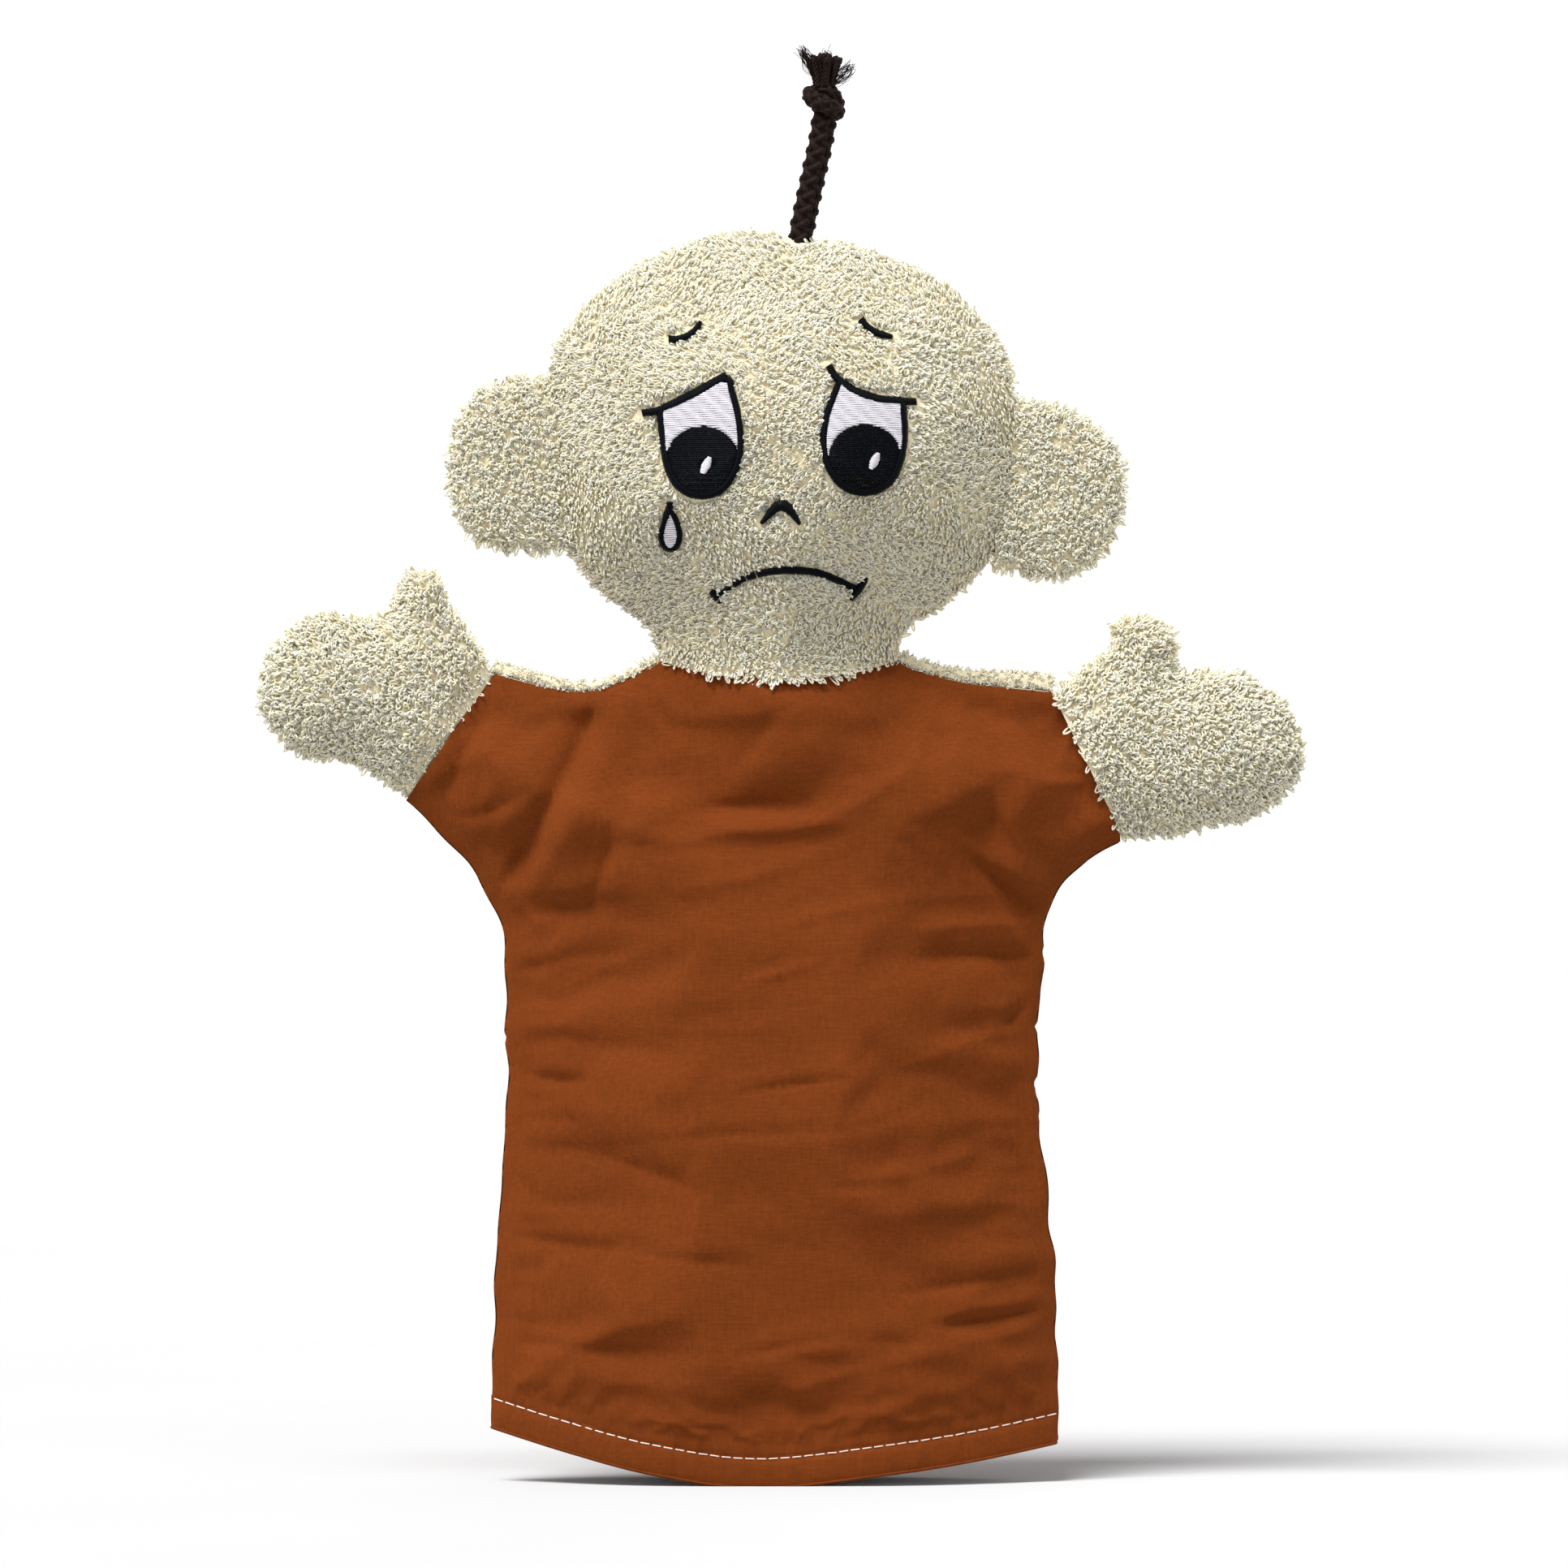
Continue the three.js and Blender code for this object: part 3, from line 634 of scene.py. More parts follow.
def tuft_yarn(rng, foot, top, radius, steps=18):
    """One frayed yarn: three plies twisted together, round at the top."""
    t = np.linspace(0, 1, steps)[:, None]
    middle = foot + (top - foot) * t + (np.array([1, 1, 0]) * (top - foot)) * (t * t - t) * 0.6
    spin = rng.uniform(0, 2 * math.pi) + t * np.linalg.norm(top - foot) * 2.2
    close = np.sqrt(np.clip(1 - ((t - 0.86) / 0.14).clip(0, 1) ** 2, 0.02, 1))
    lines = []
    for ply in range(3):
        angle = spin + ply * 2 * math.pi / 3
        lines.append(middle + radius * 0.55 * close * np.hstack([np.cos(angle), np.sin(angle), 0 * angle]))
    return tubes(np.array(lines), radius * 0.62 * close[:, 0], np.array([1.0, 0.2, 0]), sides=6)


def wisp(rng, foot, top, count, radius=0.075, steps=8):
    """Single fibres that have come loose from the tuft."""
    t = np.linspace(0, 1, steps)[None, :, None]
    start = foot + rng.normal(0, 0.35, (count, 1, 3))
    end = top + rng.normal(0, 0.7, (count, 1, 3))
    bow = rng.normal(0, 0.8, (count, 1, 3)) * np.sin(math.pi * t)
    return tubes(start + (end - start) * t + bow, radius, np.array([0, 1.0, 0.1]))


def make_hair():
    yarn = hair_yarn()
    route, (points, faces) = braid(CORD_ROUTE, CORD_WIDTH)
    cord = make("hair_cord_braid", points, faces, [yarn])
    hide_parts("hair_cord")
    knot = make("hair_knot_braid", *braid(KNOT_ROUTE, CORD_WIDTH * 0.72)[1], [yarn])
    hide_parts("hair_knot")
    rng = np.random.default_rng(11)
    foot = np.array(TUFT["foot"], float)
    parts = []
    for i in range(26):
        ring, angle = (0.25, 0.7, 1)[i % 3], i * 2.4
        lean = np.array([math.cos(angle) * ring, math.sin(angle) * ring, 0])
        height = TUFT["top"] - foot[2] - 1.1 * ring ** 2 + rng.uniform(-0.25, 0.15)
        top = foot + lean * TUFT["spread"] + np.array([0, 0, height])
        parts.append(tuft_yarn(rng, foot + lean * 1.9, top, 0.66))
    stray_left = foot + np.array([-5.2, -0.4, 8.6])
    stray_right = foot + np.array([6.0, 0, 4.9])
    parts.append(tuft_yarn(rng, foot + np.array([-1.8, -0.3, 0]), stray_left, 0.4))
    parts.append(wisp(rng, foot + np.array([-2, -0.3, 2.5]), stray_left, 46))
    parts.append(wisp(rng, foot + np.array([1.8, 0, 0.5]), stray_right, 40))
    parts.append(wisp(rng, foot + np.array([0, 0, 4]), foot + np.array([0, 0, 8.2]), 14))
    tuft = make("hair_tuft_yarns", *joined(parts), [yarn])
    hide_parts("hair_tuft")
    for piece in (cord, knot, tuft):
        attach(piece, "hair")


make_camera()
make_hair()
make_studio()


# ---- How deep each sewn shape is -----------------------------------------------------------------

def puffed(away, puff):
    """Sewn and filled cloth rises from its seams like a sine, up to its full depth."""
    depth, rise = puff
    return depth * np.sin(math.pi / 2 * np.minimum(1, away / rise))


def rounded(away, thickness):
    """Thick cloth turns over at a seam in a quarter circle."""
    return thickness * np.sqrt(1 - (1 - np.minimum(1, away / thickness)) ** 2)


def wrist(hand):
    """The wrist seam's middle, its direction up, and the direction out along the arm."""
    top, bottom = np.array(HANDS[hand][0], float), np.array(HANDS[hand][-1], float)
    up = unit(top - bottom)
    return (top + bottom) / 2, up, SIDES[hand] * np.array([up[1], -up[0]])


def puckered(line, seed, height=0.5):
    """A seam line with the slight unevenness that sewing leaves, and none at its ends."""
    run = unit(np.gradient(line, axis=0))
    ends = np.sin(np.linspace(0, math.pi, len(line))) ** 0.4
    shift = height * ends * ripple(line, seed, 15, 7)
    return line + np.stack([run[:, 1], -run[:, 0]], axis=1) * shift[:, None]


side_lines = {hand: puckered(spline(line, 1.6), 80 + side) for (hand, line), side in
              zip(BODY_SIDES.items(), SIDES.values())}
shoulder_lines = {hand: puckered(spline(line, 1.6), 84 + side, 0.25) for (hand, line), side in
                  zip(SHOULDERS.items(), SIDES.values())}
body_seams = [*side_lines.values(), *shoulder_lines.values()]
hem_line = spline(HEM, 1.5)


def body_away(spots):
    return np.min([nearest(seam, spots)[0] for seam in body_seams], axis=0)


def hem_height(spots):
    """How far above the hem's edge a place is."""
    return spots[:, 1] - np.interp(spots[:, 0], hem_line[:, 0], hem_line[:, 1])


def body_depth(spots):
    """The body's cloth, drawn in at the wrists and inside the head's edge."""
    away = body_away(spots)
    depth = puffed(away, BODY_PUFF)
    for hand in SIDES:
        middle, _, out = wrist(hand)
        depth *= 1 - (1 - WRIST_SLIM) * smoothstep((spots - middle) @ out, -26, 0)
    depth *= 1 - 0.3 * smoothstep(spots[:, 1], 179, 189) * (np.abs(spots[:, 0]) < 33)
    return depth + rounded(away, COTTON)


def inset(outline, by):
    return outline - outward(outline) * by


head_edge = spline(HEAD, 1.6)
chin = np.array([[x, CHIN_Z + 4.2 * (x / 27) ** 2] for x in np.linspace(27, -26, 34)][1:-1])
head_outline = np.vstack([head_edge, chin])
head_seam = inset(head_outline, PILE)[: len(head_edge)]


def head_depth(spots):
    """The head's ground cloth. It slims towards the neck and is a little uneven with its filling."""
    away = nearest(head_seam, spots)[0]
    slim = lerp(NECK_SLIM["share"], 1, smoothstep(spots[:, 1], NECK_SLIM["from"], NECK_SLIM["to"]))
    lumps = 0.45 * ripple(spots, 5, 26) * smoothstep(away, 2, 18)
    return puffed(away, HEAD_PUFF) * slim + rounded(away, GROUND) + lumps


# ---- Terry pile ----------------------------------------------------------------------------------

def scatter(points, faces, density, rng):
    """Random places spread evenly over triangles, with the surface's direction at each."""
    across = face_normals(points, faces)
    area = np.linalg.norm(across, axis=1) / 2
    total = area.sum()
    count = int(total * density)
    at = (np.arange(count) + rng.random(count)) * total / count
    picked = faces[np.minimum(np.searchsorted(np.cumsum(area), at), len(faces) - 1)]
    u, v = rng.random((2, count))
    over = u + v > 1
    u[over], v[over] = 1 - u[over], 1 - v[over]
    share = np.stack([1 - u - v, u, v], axis=1)[:, :, None]
    normals = point_normals(points, faces)
    return (points[picked] * share).sum(1), unit((normals[picked] * share).sum(1))


def lay_loops(spots, normals, towards, rng, size=1.0):
    """Closed loops of yarn that start and end in the ground cloth. Each leans towards a direction."""
    count = len(spots)
    size = np.broadcast_to(size, count).reshape(-1, 1, 1)
    lay = unit(towards - normals * np.sum(towards * normals, axis=1, keepdims=True))
    side = np.cross(normals, lay)

    def draw(low, high):
        return rng.uniform(low, high, (count, 1, 1)) * size

    t = np.linspace(0, 1, 7)[None, :, None]
    arch = np.sin(math.pi * t)
    rise = normals[:, None] * draw(0.7, 1.6) + lay[:, None] * draw(0.9, 2.7)
    spread = side[:, None] * draw(0.45, 0.95) * (t - 0.5) * (1 + 1.3 * arch)
    curl = side[:, None] * draw(-0.6, 0.6) * arch ** 2
    sunk = normals[:, None] * 0.45 * (1 - arch)
    lines = spots[:, None] + spread + rise * arch + curl - sunk
    plane = unit(np.cross(side[:, None], rise))
    return tubes(lines, rng.uniform(0.18, 0.25, (count, 1)) * size[:, 0], plane)


def grown_pile(name, spots, normals, towards, seed, tones, size=1.0):
    """A piece made of terry loops in mixed tones."""
    rng = np.random.default_rng(seed)
    points, faces = lay_loops(spots, normals, towards, rng, size)
    each = len(faces) // len(spots)
    patch = ripple(spots, seed + 1, 14)
    draw = rng.random(len(spots)) + 0.18 * patch
    tone = np.clip(np.searchsorted([0.34, 0.66, 0.85], draw), 0, 3)
    return make(name, points, faces, tones, np.repeat(tone, each))


def any_way(count, rng):
    return rng.normal(0, 1, (count, 3))


def flat_of(spots):
    return spots[:, [0, 2]]


terry = terry_tones()
ground = terry_ground()
brown = cotton()


# ---- Embroidery ----------------------------------------------------------------------------------

LINE = 1.6
EMBROIDERY_UP = 1.35  # over the ground cloth
EYES = {
    "right": {
        "rim": [[-26.8, 248.4], [-26.4, 242], [-25.8, 237.3], [-24.6, 233.5], [-22.6, 230.5], [-19.8, 228.9],
                [-16.3, 228.6], [-13.2, 229.7], [-10.9, 232.4], [-9.3, 235.9], [-8.7, 239.8], [-8.8, 244],
                [-9.5, 248.1], [-10.5, 251.8], [-12, 255.4], [-18.6, 251.9], [-24.5, 249.2]],
        "lid": [[-31.1, 247.7], [-27.5, 248.1], [-24.7, 249.3], [-18.6, 252.2], [-15.8, 253.9],
                [-11.9, 256.3]],
        "pupil": [-17.2, 236.4],
        "glint": [-16.4, 235.4],
        "brow": [[-25, 264.8], [-23.1, 264.8], [-20.5, 265.7], [-18.8, 267], [-17.9, 268.8]],
    },
    "left": {
        "rim": [[14.6, 254.6], [12.6, 250.1], [11.4, 246.6], [10.8, 242.8], [10.9, 239.1], [11.7, 235.5],
                [13.5, 232.3], [16.2, 230.1], [19.9, 229.3], [23.6, 230.1], [26.4, 232.3], [28, 235.7],
                [28.9, 239.6], [29.2, 243.7], [28.9, 247.4], [28.5, 250.2], [24.5, 250.4], [20.4, 251.3],
                [16.7, 253]],
        "lid": [[11.9, 258.4], [13.5, 255.7], [16.7, 253.2], [20.4, 251.5], [24.5, 250.5], [31.9, 250.3]],
        "pupil": [20.1, 236.8],
        "glint": [22.3, 236.4],
        "brow": [[19.3, 269.4], [20.8, 267.7], [23.2, 266.2], [26.4, 265.4]],
    },
}
PUPIL = (8.6, 8)
GLINT = (1.15, 1.9)
GLINT_LEAN = math.radians(-24)
NOSE = [[-3.7, 222.1], [-2, 224], [-0.4, 225.7], [1.2, 226.2], [2.9, 225.2], [4.1, 223.6], [5.1, 221.9]]
MOUTH = [[-13.4, 205.9], [-10.7, 207.6], [-8, 209.3], [-4.3, 210.5], [-0.6, 211.1], [3, 211.3], [6.7, 211.2],
         [10.3, 210.5], [14, 209.1], [17.8, 207.3]]
MOUTH_ENDS = [[[-15.6, 206.8], [-14.4, 205.6], [-13.2, 204]], [[20.7, 209.5], [18.8, 207.2], [16.9, 204.7]]]
TEAR = [[-24.9, 225.2], [-26.2, 221.8], [-26.8, 219.3], [-26.2, 217.1], [-24.8, 216.3], [-23.3, 217.1],
        [-22.7, 219.5], [-23.3, 222.2], [-24.3, 224.4]]
TEAR_STEM = [[-24.8, 226.9], [-25, 225.6], [-25.5, 223.6]]


def on_face(flat, up):
    """Places on the front of the head, some way above its ground cloth."""
    shape = flat.shape[:-1]
    rows = flat.reshape(-1, 2)
    depth = head_depth(rows).reshape(shape) + up
    return np.stack([flat[..., 0], -depth, flat[..., 1]], axis=-1)


def satin(line, widths, seed, pitch=0.36, keep=1.0):
    """Short stitches side by side across a line, each rising in the middle."""
    rng = np.random.default_rng(seed)
    middle = even(line, pitch)
    run = unit(np.gradient(middle, axis=0))
    kept = rng.random(len(middle)) < keep
    half = np.interp(np.linspace(0, 1, len(middle)), np.linspace(0, 1, len(widths)), widths) / 2
    half = half * rng.uniform(0.92, 1.1, len(middle))
    slant = unit(np.stack([run[:, 1], -run[:, 0]], axis=1) + run * 0.12)
    t = np.linspace(-1, 1, 9)[None, :]
    flat = middle[:, None] + slant[:, None] * (t * half[:, None])[:, :, None]
    up = 0.15 + (EMBROIDERY_UP + 0.2) * (1 - np.abs(t) ** 3.5)
    lines = on_face(flat, np.broadcast_to(up, flat.shape[:2]))[kept]
    across = np.stack([run[:, 0], 0 * run[:, 0], run[:, 1]], axis=1)[kept]
    return tubes(lines, 0.21, across[:, None], sides=6)


def runs(inside, low, high, step=0.08):
    """The stretches of a row between low and high where inside is true."""
    x = np.arange(low, high, step)
    flags = np.concatenate([[False], inside(x), [False]])
    change = np.flatnonzero(flags[1:] != flags[:-1])
    return [(low + a * step, low + (b - 1) * step) for a, b in zip(change[::2], change[1::2])]


def filling(inside, box, seed, pitch=0.48, wave=0.1, lean=0.0):
    """Rows of thread, near level, that fill the places where inside is true."""
    rng = np.random.default_rng(seed)
    (x0, z0), (x1, z1) = box
    parts = []
    for row, z in enumerate(np.arange(z0, z1, pitch)):
        def here(x):
            return inside(np.stack([x, z + lean * (x - x0)], axis=1))

        for a, b in runs(here, x0, x1):
            if b - a < 0.25:
                continue
            x = np.linspace(a - rng.uniform(0, 0.35), b + rng.uniform(0, 0.35), max(5, int((b - a) / 0.9)))
            height = z + lean * (x - x0) + wave * np.sin(x * 1.7 + row * 0.9) * rng.uniform(0.4, 1)
            up = EMBROIDERY_UP + 0.1 * np.sin(np.linspace(0, math.pi, len(x))) + rng.uniform(-0.04, 0.04)
            up[[0, -1]] -= 0.3
            line = on_face(np.stack([x, height], axis=1), up)
            parts.append(tubes(line[None], 0.25, np.array([0, 0, 1.0]), sides=6))
    return joined(parts)


def ellipse(middle, halves, lean=0.0, count=48):
    turn = np.linspace(0, 2 * math.pi, count, endpoint=False)
    x, z = halves[0] * np.cos(turn), halves[1] * np.sin(turn)
    c, s = math.cos(lean), math.sin(lean)
    return np.array(middle) + np.stack([x * c - z * s, x * s + z * c], axis=1)


def looped(outline):
    return np.vstack([outline, outline[:1]])


black = thread("black_thread", (0.0022, 0.0034, 0.0055), 0.5, shine=0.07)
white = thread("white_thread", (0.76, 0.74, 0.78), 0.1)
face_lines = []  # (line, half width) of every stitched line
face_fields = []  # outlines of the stitched areas


def stitched(name, parts, finish, slot_name, *nodes):
    piece = make(name, *joined(parts), [finish])
    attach(piece, "head")
    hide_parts(*nodes)
    return piece


def make_eye(hand, seed):
    eye = EYES[hand]
    rim = spline(eye["rim"], 0.5, closed=True)[:-1]
    pupil = ellipse(eye["pupil"], PUPIL)
    glint = ellipse(eye["glint"], GLINT, GLINT_LEAN)
    lid = spline(eye["lid"], 0.4)
    box = (rim.min(0), rim.max(0))

    def dark(spots):
        low = spots[:, 1] < eye["pupil"][1] + 1
        return contains(rim, spots) & (contains(pupil, spots) | low) & ~contains(glint, spots)

    def pale(spots):
        high = spots[:, 1] > eye["pupil"][1] + 0.5
        return contains(rim, spots) & ~contains(pupil, spots) & high

    lids = [LINE * 0.85, LINE * 1.05, LINE * 1.25, LINE * 1.2, LINE * 0.8]
    parts = [satin(looped(rim), [LINE], seed), satin(lid, lids, seed + 1)]
    stitched(f"{hand}_eye_black_stitches", parts + [filling(dark, box, seed + 2, wave=0.05)], black,
             "black_thread", f"{hand}_eye_outline")
    stitched(f"{hand}_eye_white_stitches", [filling(pale, box, seed + 3, lean=-0.05)], white,
             "white_thread", f"{hand}_eye_white")
    gleam = np.array([ellipse(eye["glint"], (0, GLINT[1]), GLINT_LEAN)[i] for i in (36, 12)])
    stitched(f"{hand}_eye_glint_stitches", [satin(gleam, [1.3, 2.2, 2.2, 1.2], seed + 4)], white,
             "white_thread", f"{hand}_eye_glint")
    brow = spline(eye["brow"], 0.3)
    stitched(f"{hand}_eyebrow_stitches", [satin(brow, [1.7, 1.3, 1.4, 1.5, 0.8], seed + 5)], black,
             "black_thread", f"{hand}_eyebrow")
    face_fields.append(rim)
    face_lines.extend([(looped(rim), LINE / 2), (lid, LINE / 2), (brow, LINE / 2)])


def make_tear():
    tear = spline(TEAR, 0.3, closed=True)[:-1]
    stem = spline(TEAR_STEM, 0.3)
    parts = [satin(looped(tear), [1.35], 61), satin(stem, [1.4, 1.6, 1.8], 62)]
    stitched("teardrop_black_stitches", parts, black, "black_thread", "teardrop_outline")
    box = (tear.min(0), tear.max(0))
    stitched("teardrop_white_stitches", [filling(lambda spots: contains(tear, spots), box, 63)], white,
             "white_thread", "teardrop_fill")
    face_fields.append(tear)
    face_lines.extend([(looped(tear), 0.5), (stem, 0.6)])


def make_nose_and_mouth():
    nose = spline(NOSE, 0.3)
    widths = [0.6, 1.2, 1.9, 2.4, 2.1, 1.5, 0.5]
    stitched("nose_stitches", [satin(nose, widths, 71)], black, "black_thread", "nose")
    mouth = spline(MOUTH, 0.3)
    third = len(mouth) // 3
    parts = [satin(mouth[: third + 1], [0.9, 1.3], 72, keep=0.9)]
    parts.append(satin(mouth[third:], [1.3, 1.5, 1.4, 1.4], 73))
    for end, keep in zip(MOUTH_ENDS, (0.85, 1)):
        line = spline(end, 0.3)
        parts.append(satin(line, [0.8, 1.5, 1.7, 0.8], 74, keep=keep))
        face_lines.append((line, 0.45))
    stitched("mouth_stitches", parts, black, "black_thread", "mouth")
    face_lines.extend([(nose, 0.75), (mouth, 0.4)])


make_eye("right", 40)
make_eye("left", 50)
make_tear()
make_nose_and_mouth()


def beside_stitches(spots):
    """Which places are clear of the embroidery, how near they are to it, and the way from it."""
    flat = flat_of(spots)
    away = np.full(len(flat), np.inf)
    push = np.zeros_like(flat)
    for line, half in face_lines:
        distance, where = nearest(line, flat)
        distance = distance - half
        closer = distance < away
        away[closer] = distance[closer]
        push[closer] = (flat - where)[closer]
    for field in face_fields:
        away[contains(field, flat)] = -1
    return away, unit(push)


# ---- Head and ears -------------------------------------------------------------------------------

def bend_neck(piece):
    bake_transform(piece)


def head_lean(spots, rng):
    """The head's loops lie nearly level, to either side, and hang down over the collar."""
    count = len(spots)
    towards = rng.normal(0, 0.28, (count, 3))
    way = np.where(ripple(spots, 8, 30) + rng.normal(0, 0.5, count) > 0, 1, -1)
    turn = 0.42 * ripple(spots, 9, 34)
    towards[:, 0] += way * np.cos(turn)
    towards[:, 2] += way * np.sin(turn)
    towards[:, 2] -= 2.2 * smoothstep(-spots[:, 2], -190, -186.5)
    return towards


def make_head():
    outline = np.vstack([head_seam, chin])
    flat, triangles = filled(outline, 2.2)
    points, faces = shell(flat, triangles, head_depth)
    cloth = make("head_cloth", *thickened(points, faces, 0.9), [ground])
    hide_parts("head_front_panel", "head_back_panel")
    bend_neck(cloth)
    rng = np.random.default_rng(21)
    spots, normals = scatter(points, faces, LOOPS, rng)
    towards = head_lean(spots, rng)
    away, push = beside_stitches(spots)
    facing = spots[:, 1] < 0
    near = (smoothstep(-away, -1.9, -0.3) * facing)[:, None] * 1.5
    towards += near * np.stack([push[:, 0], 0 * away, push[:, 1]], axis=1)
    frayed = (spots[:, 0] < -7) & (spots[:, 2] < 212)
    clear = ~facing | (away > rng.uniform(-0.2, 0.3, len(away)) - 0.7 * frayed)
    by_cord = np.linalg.norm(spots - CORD_EXIT, axis=1) < CORD_WIDTH / 2 + 1
    clear &= ~by_cord
    sectors = (spots[:, 1] > 0) * 4 + (spots[:, 0] > 2) * 2 + (spots[:, 2] > 238)
    names = [f"head_pile_{side}_{hand}_{level}" for side in ("front", "back") for hand in SIDES
             for level in ("low", "top")]
    for sector, name in enumerate(names):
        mask = clear & (sectors == sector)
        piece = grown_pile(name, spots[mask], normals[mask], towards[mask], 30 + sector, terry)
        bend_neck(piece)


def make_ear(hand, seed):
    free = spline(EARS[hand], 1.2)
    root = EAR_ROOT_X[hand]
    outline = np.vstack([free, [[root, free[-1, 1]], [root, free[0, 1]]]])
    seam = inset(outline, PILE)[: len(free)]
    ring = np.vstack([seam, even(np.array([[root, seam[-1, 1]], [root, seam[0, 1]]]), 1.6)])

    def depth(spots):
        away = nearest(seam, spots)[0]
        return puffed(away, EAR_PUFF) + rounded(away, GROUND) * 0.8

    points, faces = shell(*filled(ring, 1.8), depth)
    cloth = make(f"{hand}_ear_cloth", *thickened(points, faces, 0.6), [ground])
    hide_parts(f"{hand}_ear_front", f"{hand}_ear_back")
    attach(cloth, "head")
    rng = np.random.default_rng(seed)
    spots, normals = scatter(points, faces, LOOPS * 1.05, rng)
    outside = ~contains(inset(head_outline, 2.4), flat_of(spots))
    piece = grown_pile(f"{hand}_ear_pile", spots[outside], normals[outside],
                       any_way(outside.sum(), rng), seed, terry, 1.06)
    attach(piece, "head")


# ---- Body ----------------------------------------------------------------------------------------

FOLDS = [
    # from, to, height (valleys are negative), half width, bow
    [(-39.5, 188), (-67, 133), -3.4, 3.2, 2.0],
    [(-35, 184), (-60, 134), 0.8, 3.4, 2.5],
    [(-32, 168), (-44, 132), -0.8, 1.6, 1.0],
    [(-28, 157), (31, 166), 1.5, 3.2, -10],
    [(30, 163), (36, 185), 1.1, 2.6, -1.0],
    [(-65, 184), (-79, 158), -1.3, 2.4, 0.5],
    [(-61.5, 187), (-63.3, 177), -0.9, 0.9, 0.0],
    [(-58, 160), (-76, 154), -0.9, 1.4, 1.0],
    [(-37, 159), (-44, 133), -0.7, 1.0, 0.5],
    [(-69, 147), (-52, 128), 1.2, 3.0, -2.0],
    [(4, 183), (-14, 160), -1.3, 4.5, 0.0],
    [(-26, 154), (10, 157), -2.3, 3.4, 1.5],
    [(-30, 147), (20, 153), 1.3, 2.6, 2.0],
    [(-24, 137), (20, 149), 0.9, 2.4, -1.0],
    [(-4, 128), (34, 136), 0.6, 1.5, 1.0],
    [(36, 185), (40, 146), 1.0, 4.0, 3.0],
    [(43, 183), (44, 140), -1.9, 4.2, 7.0],
    [(43, 147), (66, 131), -2.4, 2.2, -1.5],
    [(40, 152), (64, 137), 1.2, 2.4, -2.0],
    [(62, 182), (71, 158), -1.0, 3.2, 1.0],
    [(32, 122), (62, 121), -1.9, 2.2, 1.0],
    [(30, 128), (61, 130), 0.9, 2.0, 0.5],
    [(51, 104), (60.5, 113), -1.2, 1.5, 0.5],
    [(-63, 132), (-40, 136), -1.0, 1.8, -1.0],
    [(-63, 118), (-34, 123), -0.9, 2.2, 1.0],
    [(-8, 116), (9, 120.5), 0.8, 1.2, 0.0],
    [(-61, 95.5), (-44, 93), -1.0, 1.3, -0.5],
    [(-10, 90.5), (18, 94), -0.9, 1.2, 0.5],
    [(-53, 78), (-16, 67), -0.9, 1.8, 1.5],
    [(14, 70), (50, 78), 0.9, 2.4, -1.0],
    [(-63, 58), (-32, 54), -0.9, 1.8, -0.5],
    [(-34, 54), (-6, 51), -0.8, 1.6, -0.5],
    [(26, 44), (63, 50), -1.4, 2.2, -0.5],
    [(33, 36.5), (64, 41), -1.2, 1.2, -0.3],
    [(28, 31), (62, 36), 0.8, 2.2, 0.0],
    [(-65, 38.5), (-52, 36), -1.0, 1.4, 0.0],
    [(-56, 30), (-20, 40), 0.8, 2.8, 1.0],
    [(-12, 26), (24, 34), 0.8, 3.0, 1.0],
]


def fold(spots, start, end, depth, width, bow):
    """One fold: a crest, or a valley, with a shallow one of the other kind beside it."""
    start, end = np.array(start, float), np.array(end, float)
    length = np.linalg.norm(end - start)
    run = (end - start) / length
    share = np.clip((spots - start) @ run / length, 0, 1)
    off = (spots - start) @ np.array([-run[1], run[0]]) - bow * np.sin(math.pi * share)
    crest = np.exp(-np.sqrt((off / width) ** 2 + 0.1) * 1.5)
    ease = np.exp(-((off / width - 2.2) / 1.6) ** 2)
    return depth * np.sin(math.pi * share) ** 0.7 * (crest * 1.95 - 0.5 * ease)


def creases(spots, seed, count=34):
    """Slight creases that run mostly across the body, from washing and handling."""
    rng = np.random.default_rng(seed)
    total = np.zeros(len(spots))
    for _ in range(count):
        middle = np.array([rng.uniform(-55, 55), rng.uniform(18, 165)])
        angle = rng.normal(0.06, 0.16)
        reach = rng.uniform(9, 26) * np.array([math.cos(angle), math.sin(angle)])
        total += fold(spots, middle - reach, middle + reach, rng.uniform(-0.6, 0.45),
                      rng.uniform(0.8, 2.2), rng.normal(0, 1))
    return total


def wrinkled(spots, side):
    """How far the folds move the body's cloth out, on the front or on the back."""
    away = body_away(spots)
    seed = 90 + side
    mirrored = spots * np.array([-side, 1])
    folds = sum(fold(mirrored, *f) for f in FOLDS)
    waves = 1.1 * ripple(spots, seed, 40, 9, 1.8) + 0.34 * ripple(spots, seed + 7, 13, 12, 2.6)
    fade = smoothstep(away, 0.2, 7) * smoothstep(hem_height(spots), 4, 18)
    off_x, off_z = (spots - CHEST_HOLLOW["middle"]).T
    reach = np.where(off_z > 0, CHEST_HOLLOW["up"], CHEST_HOLLOW["down"])
    sunk = (off_x / CHEST_HOLLOW["half"]) ** 2 + (off_z / reach) ** 2
    collar = smoothstep(-spots[:, 1], -184, -174)
    hollow = CHEST_HOLLOW["depth"] * np.exp(-sunk) * collar * (side == FRONT)
    return (folds + creases(spots, seed + 3) + waves - hollow) * fade


